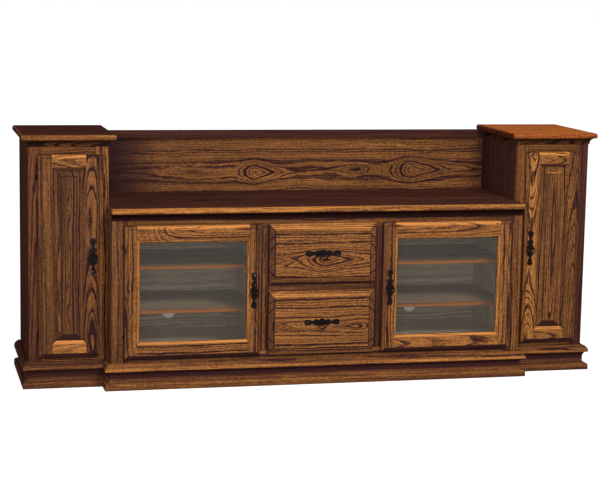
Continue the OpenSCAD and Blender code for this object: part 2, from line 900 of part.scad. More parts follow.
module at_glass_pull(side) {
    pull_x = glass_door_x[0] + glass_stile_w / 2;
    place() translate([side * pull_x, -door_lip, (glass_door_z[0] + glass_door_z[1]) / 2])
        children();
}

module left_glass_door_frame() { glass_door_frame(-1); }
module left_glass_pane() { glass_pane(-1); }
module left_glass_stops() { glass_stops(-1); }
module left_glass_door_hinges() { glass_door_hinges(-1); }
module left_glass_door_pull() { color(bronze) at_glass_pull(-1) pull_plate(0); }
module left_glass_door_ring() { color(bronze) at_glass_pull(-1) pull_ring(); }
module right_glass_door_frame() { glass_door_frame(1); }
module right_glass_pane() { glass_pane(1); }
module right_glass_stops() { glass_stops(1); }
module right_glass_door_hinges() { glass_door_hinges(1); }
module right_glass_door_pull() { color(bronze) at_glass_pull(1) pull_plate(0); }
module right_glass_door_ring() { color(bronze) at_glass_pull(1) pull_ring(); }

// Pier doors

pier_door_w = pier_door_x[1] - pier_door_x[0];
pier_door_h = pier_door_z[1] - pier_door_z[0];
pier_face = y_pier - door_lip;

module at_pier_door(side) {
    place() on_side(side)
        translate([(pier_door_x[0] + pier_door_x[1]) / 2, pier_face, pier_door_z[0]])
            children();
}

module pier_door_frame(side) {
    color(oak) at_pier_door(side)
        door_frame(pier_door_w, pier_door_h, pier_door_stile_w, panel_stick_w,
            grooved_section(pier_door_stile_w), grooved_section(pier_door_low_w),
            grooved_section(pier_door_top_w));
}

module pier_door_panel(side) {
    lap = groove_d - panel_float;
    color(oak_field) at_pier_door(side)
        translate([0, 0, pier_door_low_w - lap])
            raised_board(pier_door_w - 2 * (pier_door_stile_w - lap),
                pier_door_h - pier_door_low_w - pier_door_top_w + 2 * lap,
                lap, panel_bevel_w, recess_d + panel_slack, field_sink,
                recess_d + groove_w - panel_slack);
}

module pier_door_hinges(side) {
    color(bronze) place() on_side(side)
        at_hinges(pier_door_x, y_pier, pier_door_z) door_leaf();
}

module at_pier_pull(side) {
    pull_x = pier_door_x[0] + (pier_door_stile_w - panel_stick_w) / 2;
    place() translate([side * pull_x, pier_face, (pier_door_z[0] + pier_door_z[1]) / 2])
        children();
}

module left_pier_door_frame() { pier_door_frame(-1); }
module left_pier_door_panel() { pier_door_panel(-1); }
module left_pier_door_hinges() { pier_door_hinges(-1); }
module left_pier_door_pull() { color(bronze) at_pier_pull(-1) pull_plate(0); }
module left_pier_door_ring() { color(bronze) at_pier_pull(-1) pull_ring(); }
module right_pier_door_frame() { pier_door_frame(1); }
module right_pier_door_panel() { pier_door_panel(1); }
module right_pier_door_hinges() { pier_door_hinges(1); }
module right_pier_door_pull() { color(bronze) at_pier_pull(1) pull_plate(0); }
module right_pier_door_ring() { color(bronze) at_pier_pull(1) pull_ring(); }

// Drawers, each in the opening whose lower and upper edges are open_z

module drawer_front(open_z) {
    color(oak_field) place() translate([0, -door_lip, open_z[0] - overlay])
        raised_board(drawer_bay_w + 2 * overlay, open_z[1] - open_z[0] + 2 * overlay,
            0, drawer_bevel_w, door_t - drawer_edge_t, 0, door_t);
}

module drawer_box(open_z) {
    low = open_z[0] + drawer_lift;
    high = open_z[1] - drawer_headroom;
    inner = drawer_box_x - drawer_side_t;
    back_y = box_front_y + drawer_l;
    groove_z = low + drawer_groove_rise;
    color(drawer_wood) place() {
        both_sides() difference() {
            board([inner, drawer_box_x], [box_front_y, back_y], [low, high]);
            board([inner - 1, inner + drawer_groove_d], [box_front_y - 1, back_y + 1],
                [groove_z, groove_z + drawer_bottom_t + 2 * panel_slack]);
        }
        for (y = [box_front_y, back_y - drawer_side_t])
            board([glue_line - inner, inner - glue_line], [y, y + drawer_side_t], [low, high]);
        board([-inner - drawer_groove_d + panel_slack, inner + drawer_groove_d - panel_slack],
            [box_front_y + drawer_side_t + glue_line, back_y - drawer_side_t - glue_line],
            [groove_z + panel_slack, groove_z + panel_slack + drawer_bottom_t]);
    }
}

// The slides are drawn from the edge of the opening inwards, up from the box's lower edge
module at_slide(open_z, y) {
    both_sides() translate([x_bay, y, open_z[0] + drawer_lift]) mirror([1, 0, 0]) children();
}

// Cabinet half of a slide: a channel with a glide pad near its front end
module cabinet_slide() {
    along_y(drawer_l) polygon([[0, track_low], [track_reach, track_low],
        [track_reach, track_low + slide_t], [slide_t, track_low + slide_t],
        [slide_t, track_high - slide_t], [track_lip, track_high - slide_t],
        [track_lip, track_high], [0, track_high]]);
    board([0, track_reach], [0, glide_l],
        [flange_top - slide_t - glide_gap - glide_l / 2, flange_top - slide_t - glide_gap]);
}

// Drawer half: an angle under the box side with a flange that runs on the pad
module drawer_slide() {
    along_y(drawer_l) polygon([[slide_web, -slide_t], [slide_w + ledge_w, -slide_t],
        [slide_w + ledge_w, 0], [slide_w, 0], [slide_w, flange_top],
        [slide_w - flange_reach, flange_top], [slide_w - flange_reach, flange_top - slide_t],
        [slide_web, flange_top - slide_t]]);
    board([slide_w - flange_reach, slide_w], [drawer_l - glide_l, drawer_l],
        [track_low + slide_t + glide_gap, track_low + slide_t + glide_gap + glide_l / 2]);
}

module drawer_runners() {
    color(steel) place()
        for (open_z = [upper_open_z, lower_open_z])
            at_slide(open_z, track_y) cabinet_slide();
}

module drawer_slides(open_z) {
    color(steel) place() at_slide(open_z, box_front_y) drawer_slide();
}

module at_drawer_pull(open_z) {
    place() translate([0, -door_lip, (open_z[0] + open_z[1]) / 2]) children();
}

module upper_drawer_front() { drawer_front(upper_open_z); }
module upper_drawer_box() { drawer_box(upper_open_z); }
module upper_drawer_slides() { drawer_slides(upper_open_z); }
module upper_drawer_pull() { color(bronze) at_drawer_pull(upper_open_z) pull_plate(90); }
module upper_drawer_ring() { color(bronze) at_drawer_pull(upper_open_z) pull_ring(); }
module lower_drawer_front() { drawer_front(lower_open_z); }
module lower_drawer_box() { drawer_box(lower_open_z); }
module lower_drawer_slides() { drawer_slides(lower_open_z); }
module lower_drawer_pull() { color(bronze) at_drawer_pull(lower_open_z) pull_plate(90); }
module lower_drawer_ring() { color(bronze) at_drawer_pull(lower_open_z) pull_ring(); }

counter_top();
counter_crown();
console_frame_stiles();
console_frame_rails();
console_sides();
console_dividers();
cabinet_floors();
console_back_panels();
console_base_cap();
console_base_plinth();
console_shelves();
drawer_runners();
shelf_supports();
bridge_panel();
bridge_rail();
frame_hinge_leaves();
pier_back_panels();
pier_shelves();
left_pier_top();
left_pier_crown();
left_pier_sides();
left_pier_frame();
left_pier_base();
right_pier_top();
right_pier_crown();
right_pier_sides();
right_pier_frame();
right_pier_base();
left_glass_door_frame();
left_glass_pane();
left_glass_stops();
left_glass_door_hinges();
left_glass_door_pull();
left_glass_door_ring();
right_glass_door_frame();
right_glass_pane();
right_glass_stops();
right_glass_door_hinges();
right_glass_door_pull();
right_glass_door_ring();
left_pier_door_frame();
left_pier_door_panel();
left_pier_door_hinges();
left_pier_door_pull();
left_pier_door_ring();
right_pier_door_frame();
right_pier_door_panel();
right_pier_door_hinges();
right_pier_door_pull();
right_pier_door_ring();
upper_drawer_front();
upper_drawer_box();
upper_drawer_slides();
upper_drawer_pull();
upper_drawer_ring();
lower_drawer_front();
lower_drawer_box();
lower_drawer_slides();
lower_drawer_pull();
lower_drawer_ring();
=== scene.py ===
"""Entertainment wall unit in stained oak, dressed for its picture.

A glazed media console stands between two taller piers, with a bridge over its
counter. Each sub-assembly is a class with its sizes in metres, and each board is
sawn with its own grain, which the oak finish then reads.
"""

import logging
import math
import random
from collections.abc import Callable, Sequence
from dataclasses import dataclass
from enum import Enum
from functools import cache
from typing import Any, NamedTuple

import bmesh
import bpy
from bmesh.types import BMesh
from bpy.types import Material, Object
from mathutils import Matrix, Vector


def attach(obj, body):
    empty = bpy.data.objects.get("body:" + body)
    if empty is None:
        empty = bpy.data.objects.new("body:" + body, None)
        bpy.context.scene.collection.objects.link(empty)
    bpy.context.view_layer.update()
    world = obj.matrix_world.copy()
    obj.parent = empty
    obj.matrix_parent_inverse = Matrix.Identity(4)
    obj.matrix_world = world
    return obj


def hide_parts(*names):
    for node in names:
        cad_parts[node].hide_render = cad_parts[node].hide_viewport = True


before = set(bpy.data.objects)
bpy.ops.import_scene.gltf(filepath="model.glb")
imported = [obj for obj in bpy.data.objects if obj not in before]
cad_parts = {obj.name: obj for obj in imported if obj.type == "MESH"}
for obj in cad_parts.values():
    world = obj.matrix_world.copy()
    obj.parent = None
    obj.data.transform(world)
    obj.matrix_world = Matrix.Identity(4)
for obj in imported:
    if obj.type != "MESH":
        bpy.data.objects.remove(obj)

log = logging.getLogger("wall_unit")

Span = tuple[float, float]
Box = tuple[Span, Span, Span]
Point = tuple[float, float]
Colour = tuple[float, float, float, float]

FRONT = -0.2201
BACK = FRONT + 0.477
PIER_FRONT = FRONT + 0.078
HERE = Matrix.Identity(4)
TOUCH = 1e-6
KERF = 1e-7
SPARE = 0.004
HAIR = 0.0001
SHARP = math.radians(32)
LEVEL = 0.9999
EYES = ("eye_1", "eye_2", "eye_3")
NO_EYE = (9, 9, 0)


class Side(Enum):
    """The two ends of the wall unit, seen from the front."""

    LEFT = -1
    RIGHT = 1

    @property
    def word(self) -> str:
        """The side as it stands in the names of pieces."""
        return self.name.lower()

    def place(self) -> Matrix:
        """The turn from the right-hand end, where pieces are made, to this side."""
        return Matrix.Diagonal((self.value, 1, 1, 1))


class Cut(Enum):
    """How a board was sawn out of its log."""

    FLAT = "arches along the middle of the face"
    RIFT = "straight lines along the face"


class End(Enum):
    """How the end of a moulding is sawn."""

    SQUARE = 0
    OUTWARD = 1
    INWARD = -1


class Way(Enum):
    """Which way the grain of a hidden board runs, with the turn that lays it so."""

    ACROSS_FRONT = (0, 0, 0)
    TO_THE_BACK = (0, 0, -math.pi / 2)
    UPRIGHT = (0, math.pi / 2, 0)


class Lay(Enum):
    """How a board lies: along its grain, over its face, and its face's middle in its box."""

    UPRIGHT = ((0, 0, 1), (1, 0, 0), (0.5, 0, 0.5))
    LYING = ((1, 0, 0), (0, 0, -1), (0.5, 0, 0.5))
    FLAT = ((1, 0, 0), (0, -1, 0), (0.5, 0.5, 1))
    SIDEWAYS = ((0, 0, 1), (0, 1, 0), (1, 0.5, 0.5))


@dataclass(frozen=True)
class Eye:
    """An eye in the figure, where the rings swell round the root of a branch.

    Args:
        along: Its place along the board, from the middle.
        across: Its place across the board, from the middle.
        long: Half its length, below nought where its point looks the other way.
        wide: Half its width.
        swell: How far the rings stand out, below nought where they sink.
    """

    along: float
    across: float
    long: float
    wide: float
    swell: float


@dataclass(frozen=True)
class Figure:
    """Where a board lay in its log, which decides the figure on its face.

    Args:
        pith: Distance from the middle of the face to the log's heart.
        depth: Depth of the log's heart under the face.
        tilt: Slope of the log's heart along the board.
        tone: Lightness against the other boards, about nought.
        ring: Width of its rings, against the other boards.
        stain_and_shade: Share of dark stain left on the whole board, partly painted shade on
            some.
        eyes: Up to three eyes in the figure.
        plain: How far its rings fade, below nought where they stand out.
    """

    pith: float
    depth: float
    tilt: float
    tone: float = 0.0
    ring: float = 1.0
    stain_and_shade: float = 0.0
    eyes: tuple[Eye, ...] = ()
    plain: float = 0.0


class Spot(NamedTuple):
    """A corner of a face: the face's direction, its middle, and the corner itself."""

    normal: Vector
    middle: Vector
    corner: Vector


@dataclass(frozen=True)
class Facing:
    """Painted light and shade by the way that a face looks, from -1, darkest, to 1, lightest.

    Args:
        up: On faces that look upwards.
        down: On faces that look downwards.
        side: On faces that look to a side.
        front: On all others.
        slant: How far a face must lean to count.
    """

    up: float = 0.0
    down: float = 0.0
    side: float = 0.0
    front: float = 0.0
    slant: float = 0.12

    def __call__(self, spot: Spot) -> float:
        """Picks the painted light and shade for a spot.

        Args:
            spot: The spot.

        Returns:
            Its painted light and shade.
        """
        if abs(spot.normal.z) > self.slant:
            return self.up if spot.normal.z > 0 else self.down
        return self.side if abs(spot.normal.x) > self.slant else self.front


@dataclass(frozen=True)
class Fade:
    """Painted light and shade that change along x or z between marks.

    Args:
        marks: Place and painted light and shade of each mark, in order.
        axis: 0 along x, 2 along z.
    """

    marks: tuple[Point, ...]
    axis: int = 2

    def __call__(self, spot: Spot) -> float:
        """Picks the painted light and shade for a spot.

        Args:
            spot: The spot.

        Returns:
            Its painted light and shade.
        """
        here, (low, light_low) = spot.corner[self.axis], self.marks[0]
        for high, light_high in self.marks[1:]:
            if here <= high:
                share = max(0.0, (here - low) / (high - low))
                return light_low + share * (light_high - light_low)
            low, light_low = high, light_high
        return light_low

    def score(self, board: BMesh) -> None:
        """Scores a board at each mark, so that the change can be drawn.

        Args:
            board: The board.
        """
        way = Vector((0, 0, 0))
        way[self.axis] = 1
        for place, _ in self.marks:
            saw(board, way * place, way, through=False)


@dataclass(frozen=True)
class SlabLight:
    """Painted light and shade on a raised slab, its bevels and field edges each with their
    own.

    Args:
        x: Left and right of the slab.
        z: Bottom and top of the slab.
        edge: Distance from its edges to its field.
        bevels: On the left, right, lower and upper bevel.
        lines: Along the left, right, lower and upper edge of the field.
        line: Width of those lines.
    """

    x: Span
    z: Span
    edge: float
    bevels: tuple[float, float, float, float]
    lines: tuple[float, float, float, float]
    line: float = 0.0045

    def __call__(self, spot: Spot) -> float:
        """Picks the painted light and shade for a spot.

        Args:
            spot: The spot.

        Returns:
            Its painted light and shade.
        """
        out = []
        for (low, high), here in ((self.x, spot.middle.x), (self.z, spot.middle.z)):
            out += [low + self.edge - here, here - (high - self.edge)]
        far = max(out)
        if far < 0:
            return 0.0
        return (self.lines if far < self.line else self.bevels)[out.index(far)]


# Every kind of painted light and shade that a board can carry.
PaintedLight = Facing | Fade | SlabLight


class Log:
    """The stock of oak that boards are picked from, the same at every run."""

    def __init__(self, seed: int) -> None:
        """Stacks the boards in a fixed order."""
        self.pick = random.Random(seed)

    def figure(
        self, tone: float = 0.0, stain_and_shade: float = 0.0, ring: float = 1.0, plain: float = 0.0,
        cut: Cut = Cut.RIFT,
    ) -> Figure:
        """Picks the next board.

        Args:
            tone: Lightness that is asked for.
            stain_and_shade: Share of dark stain left on it, partly painted shade on some
                boards.
            ring: Width of its rings.
            plain: How far its rings fade.
            cut: The way that it was sawn.

        Returns:
            The figure of that board.
        """
        draw = self.pick.uniform
        side = self.pick.choice((-1, 1))
        tone += draw(-0.05, 0.05)
        if cut is Cut.FLAT:
            pith, depth, tilt = draw(-0.006, 0.006), draw(0.03, 0.05), side * draw(0.06, 0.11)
        else:
            pith, depth = side * draw(0.05, 0.09), draw(0.02, 0.06)
            tilt = side * draw(0.0, 0.03)
        return Figure(pith, depth, tilt, tone, ring, stain_and_shade, (), plain)

    def shift(self) -> float:
        """A long step along the log, so that no two boards share their marks."""
        return self.pick.uniform(-40, 40)


STOCK = Log(11)


def stain(*mixed: float) -> Colour:
    """A colour in linear light, from its red, green and blue as shown, 0 to 255."""
    return (*(((c / 255 + 0.055) / 1.055) ** 2.4 for c in mixed), 1.0)


def dimmed(colour: Colour, share: float) -> Colour:
    """A colour with a share of its light."""
    return (*(share * c for c in colour[:3]), 1.0)


def put(name: str, data: Any) -> Object:
    """Puts a thing in the scene.

    Args:
        name: Its name.
        data: Its mesh, lamp or camera.

    Returns:
        Its object.
    """
    item = bpy.data.objects.new(name, data)
    bpy.context.scene.collection.objects.link(item)
    return item


class Recipe:
    """The nodes of a material or of the surround, and short ways to add to them."""

    def __init__(self, owner: Any) -> None:
        """Clears the owner's nodes.

        Args:
            owner: The material or the surround.
        """
        owner.use_nodes = True
        self.owner, self.tree = owner, owner.node_tree
        self.tree.nodes.clear()

    def add(self, kind: str, settings: dict[str, Any], *values: Any, **inputs: Any) -> Any:
        """Adds one node.

        Args:
            kind: Blender's name for it, without ShaderNode.
            settings: Its choices.
            *values: What its first sockets get, a value, a socket or None.
            **inputs: What other sockets get, by name with _ for a space.

        Returns:
            Its outputs.
        """
        node = self.tree.nodes.new("ShaderNode" + kind)
        for key, value in settings.items():
            setattr(node, key, value)
        named = [(value, node.inputs[key.replace("_", " ")]) for key, value in inputs.items()]
        for value, socket in [*zip(values, node.inputs), *named]:
            if isinstance(value, bpy.types.NodeSocket):
                self.tree.links.new(value, socket)
            elif value is not None:
                socket.default_value = value
        return node.outputs

    def place(self) -> Any:
        """The place on the object."""
        return self.add("TexCoord", {})["Object"]

    def parts(self, vector: Any) -> list[Any]:
        """The three parts of a vector or colour."""
        return list(self.add("SeparateXYZ", {}, vector))

    def math(self, operation: str, *values: Any, clamp: bool = False) -> Any:
        """One step of arithmetic, by Blender's name for it."""
        return self.add("Math", {"operation": operation, "use_clamp": clamp}, *values)[0]

    def vector_math(self, operation: str, *values: Any) -> Any:
        """One step of arithmetic on vectors, by Blender's name for it."""
        return self.add("VectorMath", {"operation": operation}, *values)

    def total(self, first: Any, *more: tuple[Any, Any], clamp: bool = False) -> Any:
        """A value with shares of others added to it.

        Args:
            first: The value.
            *more: Each other value and its share.
            clamp: Whether the result stays between nought and one.

        Returns:
            The result's socket.
        """
        for count, (value, share) in enumerate(more, 1):
            last = clamp and count == len(more)
            first = self.math("MULTIPLY_ADD", value, share, first, clamp=last)
        return first

    def product(self, first: Any, *more: Any) -> Any:
        """Values multiplied one after another.

        Args:
            first: The first value.
            *more: The others.

        Returns:
            The result's socket.
        """
        for value in more:
            first = self.math("MULTIPLY", first, value)
        return first

    def noise(
        self, vector: Any, along: float, across: float, detail: float, out: str = "Fac"
    ) -> Any:
        """Smooth noise.

        Args:
            vector: Where it is read.
            along: Marks in a metre along x.
            across: Marks in a metre along y and z.
            detail: Number of finer layers.
            out: Name of the output.

        Returns:
            That output's socket.
        """
        spot = self.vector_math("MULTIPLY", vector, (along, across, across))[0]
        sizes = {"Scale": 1.0, "Detail": detail, "Roughness": 0.55}
        return self.add("TexNoise", {"noise_dimensions": "3D"}, Vector=spot, **sizes)[out]

    def ramp(self, value: Any, stops: Sequence[tuple[float, Colour]]) -> Any:
        """A colour picked along a row of stops.

        Args:
            value: Where to pick, from nought to one.
            stops: Place and colour of each stop.

        Returns:
            The colour's socket.
        """
        colour = self.add("ValToRGB", {}, value)["Color"]
        row = colour.node.color_ramp.elements
        while len(row) < len(stops):
            row.new(1.0)
        for element, stop in zip(row, stops):
            element.position, element.color = stop
        return colour

    def level(self, value: Any, low: float, high: float, to: Span = (0.0, 1.0)) -> Any:
        """A value eased from one range into another.

        Args:
            value: Its socket.
            low: Value that gives the first end.
            high: Value that gives the second end.
            to: The two ends.

        Returns:
            The result's socket.
        """
        ends = {"From_Min": low, "From_Max": high, "To_Min": to[0], "To_Max": to[1]}
        return self.add("MapRange", {"interpolation_type": "SMOOTHSTEP"}, value, **ends)[0]

    def mix(self, share: Any, first: Any, second: Any) -> Any:
        """A mix of two colours, with a share of the second."""
        unused = [None] * 5
        return self.add("Mix", {"data_type": "RGBA"}, share, *unused, first, second)[2]

    def bump(self, height: Any, strength: float, deep: float) -> Any:
        """A surface that stands out where the height is great."""
        return self.add("Bump", {}, Height=height, Strength=strength, Distance=deep)[0]

    def seen(self) -> Any:
        """Finds whether the camera sees the spot, straight, in a gloss or through glass.

        Returns:
            A socket that is one where it does.
        """
        path = self.add("LightPath", {})
        seen = self.math("MAXIMUM", path["Is Camera Ray"], path["Is Glossy Ray"])
        return self.math("MAXIMUM", seen, path["Is Transmission Ray"])

    def finish(self, **sockets: Any) -> Material:
        """Ends the material with one surface.

        Args:
            **sockets: The surface's sockets by name, with _ for a space.

        Returns:
            The material.
        """
        surface = self.add("BsdfPrincipled", {}, **sockets)
        self.add("OutputMaterial", {}, surface[0])
        return self.owner


@dataclass(frozen=True)
class Lie:
    """What a finish reads from a board.

    Args:
        grain: Place along, across and into the log.
        tone: Lightness of the board.
        rings: Number of rings against the other boards.
        stain_and_shade: Share of dark stain left on the board, partly painted shade on some.
        painted_light: Painted shade below nought and painted highlight above it, on the spot.
        ends: Share of end grain.
        plain: How far the rings fade.
        eyes: Places against the three eyes.
    """

    grain: Any
    tone: Any = 0.0
    rings: Any = 1.0
    stain_and_shade: Any = 0.0
    painted_light: Any = 0.0
    ends: Any = 0.0
    plain: Any = 0.0
    eyes: tuple[Any, ...] = ()


@dataclass(frozen=True)
class StainedOak:
    """Oak under a dark wiping stain and a satin lacquer, with the painted light and shade of
    its boards.

    Args:
        name: Name of the finish.
        light: Colour of the pale wood between the rings.
        middle: Colour of most of the wood.
        dark: Colour where the stain settled in the open rings.
        sheen: Specular level of the lacquer.
        way: Direction of the grain on a hidden board, or None where boards carry it.
        ring: Distance between rings.
        bend: How far the rings wander.
        shake: How far they tremble.
        corner: Place in the log of a hidden board.
    """

    name: str
    light: Colour = stain(200, 131, 66)
    middle: Colour = stain(134, 87, 47)
    dark: Colour = stain(45, 22, 24)
    sheen: float = 0.05
    way: Way | None = None
    ring: float = 0.009
    bend: float = 0.034
    shake: float = 0.005
    corner: tuple[float, float, float] = (3.1, 0.07, 0.04)

    def lie(self, r: Recipe) -> Lie:
        """Finds the grain, from the boards' own marks or the hidden board's way.

        Args:
            r: The material's nodes.

        Returns:
            What the finish reads from the board.
        """
        if self.way:
            move = {"Location": self.corner, "Rotation": self.way.value}
            return Lie(r.add("Mapping", {"vector_type": "POINT"}, r.place(), **move)[0])
        grain, board, *eyes = (
            r.add("Attribute", {"attribute_name": name})["Vector"]
            for name in ("grain", "board", *EYES)
        )
        painted_light, ends, plain = (
            r.add("Attribute", {"attribute_name": name})["Fac"]
            for name in ("painted_light", "end_grain", "plain")
        )
        return Lie(grain, *r.parts(board), painted_light, ends, plain, tuple(eyes))

    def reach(self, r: Recipe, lie: Lie) -> tuple[Any, Any]:
        """Finds how far a spot lay from the log's heart, on its uneven rings.

        Args:
            r: The material's nodes.
            lie: What the finish reads from the board.

        Returns:
            Sockets of the distance, and of the nearness of an eye that sinks.
        """
        straight = r.parts(lie.grain)
        slow = r.parts(r.noise(lie.grain, 2.0, 9.0, 2.0, "Color"))
        fast = r.parts(r.noise(lie.grain, 14.0, 70.0, 2.0, "Color"))
        bent = []
        for i in (1, 2):
            moved = r.total(straight[i], (slow[i], self.bend), (fast[i], self.shake))
            bent.append(r.math("SUBTRACT", moved, (self.bend + self.shake) / 2))
        spot = r.add("CombineXYZ", {}, 0.0, *bent)[0]
        reach, nearness = r.vector_math("LENGTH", spot)["Value"], 0.0
        for eye in lie.eyes:
            along, across, swell = r.parts(eye)
            blunt = r.math("POWER", r.product(r.math("MINIMUM", along, 0.0), 1.7), 2.0)
            off = r.math("SQRT", r.math("ADD", blunt, r.math("POWER", across, 2.0)))
            off = r.total(off, (r.math("MAXIMUM", along, 0.0), 0.8))
            off = r.math("POWER", off, 2.0)
            reach = r.total(reach, (r.math("EXPONENT", r.product(off, -1.0)), swell))
            about = r.math("EXPONENT", r.product(off, -0.3))
            about = r.product(about, r.math("LESS_THAN", swell, 0.0))
            nearness = r.math("MAXIMUM", nearness, about)
        return reach, nearness

    def rings(self, r: Recipe, lie: Lie) -> tuple[Any, Any]:
        """Draws the rings, dark on their open side.

        Args:
            r: The material's nodes.
            lie: What the finish reads from the board.

        Returns:
            Sockets of the even rings, and of the rings broken up along the grain.
        """
        reach, nearness = self.reach(r, lie)
        count = r.product(r.math("DIVIDE", reach, self.ring), lie.rings)
        years = r.add("TexNoise", {"noise_dimensions": "1D"}, W=count, Scale=0.7, Detail=2.0)
        count = r.total(count, (years["Fac"], 2.2))
        year = r.math("FLOOR", count)
        darkness = (
            (0.0, 0.3), (0.06, 1.0), (0.3, 0.95), (0.43, 0.28), (0.62, 0.05), (1.0, 0.0)
        )
        stops = [(place, (dark, dark, dark, 1)) for place, dark in darkness]
        line = r.ramp(r.math("SUBTRACT", count, year), stops)
        season = r.add("TexWhiteNoise", {"noise_dimensions": "1D"}, W=year)["Value"]
        strength = r.level(season, 0.0, 0.6, (0.5, 1.0))
        strength = r.product(strength, r.math("SUBTRACT", 1.2, lie.plain))
        strength = r.total(strength, (nearness, 0.6))
        broken = r.level(r.noise(lie.grain, 16.0, 300.0, 2.0), 0.36, 0.54, (0.4, 1.0))
        broken = r.math("MAXIMUM", broken, nearness)
        return line, r.math("MULTIPLY", r.product(line, strength), broken, clamp=True)

    def material(self) -> Material:
        """Builds the finish.

        Returns:
            The material.
        """
        r = Recipe(bpy.data.materials.new(self.name))
        lie = self.lie(r)
        line, ring = self.rings(r, lie)
        pores, dashes, specks = (
            r.level(r.noise(lie.grain, along, across, detail), low, high)
            for along, across, detail, low, high in (
                (45.0, 1400.0, 1.0, 0.52, 0.66),
                (14.0, 330.0, 2.0, 0.53, 0.66),
                (110.0, 300.0, 1.0, 0.42, 0.6),
            )
        )
        pores = r.product(pores, r.total(0.3, (line, 0.7)))
        streak = r.noise(lie.grain, 2.5, 150.0, 3.0)
        cloud = r.noise(lie.grain, 1.6, 14.0, 2.0)
        # Painted shade, below nought, thickens the dark; painted highlight, above nought,
        # lightens the wood.
        thick, painted_bright = r.math("MINIMUM", lie.painted_light, 0.0), r.math("MAXIMUM", lie.painted_light, 0.0)
        shades = ((streak, 1.1), (cloud, 0.8), (specks, -0.25), (painted_bright, 0.6))
        pale = r.math("SUBTRACT", r.total(lie.tone, *shades), 0.45, clamp=True)
        deep = dimmed(self.middle, 0.5)
        wood = r.ramp(pale, [(0.0, deep), (0.4, self.middle), (1.0, self.light)])
        shades = ((pores, 0.4), (dashes, 0.3), (specks, 0.16), (lie.ends, 0.5), (painted_bright, -0.45))
        settled = r.total(ring, *shades, clamp=True)
        left = (r.math("SUBTRACT", 1.0, lie.stain_and_shade), r.math("ADD", 1.0, thick))
        bare = r.product(r.math("SUBTRACT", 1.0, settled), *left)
        height = r.math("SUBTRACT", 1.0, r.total(pores, (ring, 0.4)))
        return r.finish(
            Base_Color=r.mix(bare, self.dark, wood),
            Roughness=r.total(0.42, (settled, 0.15)),
            Normal=r.bump(height, 0.35, 0.0003),
            Specular_IOR_Level=self.sheen,
        )


@dataclass(frozen=True)
class AntiqueMetal:
    """Blackened brass, rubbed to copper in random spots that also stand in for a painted
    glint.

    Args:
        name: Name of the finish.
        wear: Share of the metal that is rubbed bare.
        black: Colour of the patina.
        rubbed: Colour of the bare metal, also a painted copper glint.
    """

    name: str
    wear: float
    black: Colour = stain(17, 13, 13)
    rubbed: Colour = stain(190, 118, 88)

    def material(self) -> Material:
        """Builds the finish.

        Returns:
            The material.
        """
        r = Recipe(bpy.data.materials.new(self.name))
        place = r.place()
        worn = r.noise(place, 90.0, 90.0, 3.0)
        fine = r.noise(place, 900.0, 900.0, 2.0)
        # Random spots turn copper: wear, and a painted glint.
        share = r.level(worn, 0.62, 0.72, (0.0, self.wear))
        return r.finish(
            Base_Color=r.mix(share, self.black, self.rubbed),
            Metallic=0.6,
            Roughness=r.level(fine, 0.3, 0.7, (0.36, 0.55)),
            Specular_IOR_Level=0.1,
            Normal=r.bump(fine, 0.3, 0.0002),
        )


@dataclass(frozen=True)
class ZincSteel:
    """Bright zinc on the slides and the shelf brackets.

    Args:
        name: Name of the finish.
        pale: Colour of the zinc.
        dull: Colour of its cloudy patches.
    """

    name: str = "zinc_steel"
    pale: Colour = stain(190, 193, 198)
    dull: Colour = stain(140, 144, 150)

    def material(self) -> Material:
        """Builds the finish.

        Returns:
            The material.
        """
        r = Recipe(bpy.data.materials.new(self.name))
        cloud = r.noise(r.place(), 60.0, 60.0, 3.0)
        colour = r.mix(r.level(cloud, 0.35, 0.65), self.pale, self.dull)
        rough = r.level(cloud, 0.3, 0.7, (0.3, 0.48))
        return r.finish(Base_Color=colour, Metallic=0.9, Roughness=rough)


@dataclass(frozen=True)
class TintedGlass:
    """The door panes, thinly smoked, with a veil that is partly tint, partly painted
    reflection.

    Args:
        name: Name of the finish.
        tint_and_reflection: Colour of the tint, partly a painted reflection.
        cover: Share of light that the tint keeps back.
    """

    name: str = "door_glass"
    tint_and_reflection: Colour = stain(122, 118, 112)
    cover: float = 0.12

    def material(self) -> Material:
        """Builds the finish.

        Returns:
            The material.
        """
        r = Recipe(bpy.data.materials.new(self.name))
        # The veil's colour is partly the tint and partly a painted reflection.
        colour = r.mix(r.noise(r.place(), 3.0, 3.0, 1.0), self.tint_and_reflection, dimmed(self.tint_and_reflection, 0.86))
        gloss = {"Roughness": 0.04, "Specular_IOR_Level": 0.2}
        return r.finish(Base_Color=colour, Alpha=self.cover, **gloss)


# Pale colours for the inside boards, lightened as painted light for the shade inside the
# cabinet.
PALE = (stain(252, 236, 214), stain(234, 214, 190), stain(190, 170, 150))


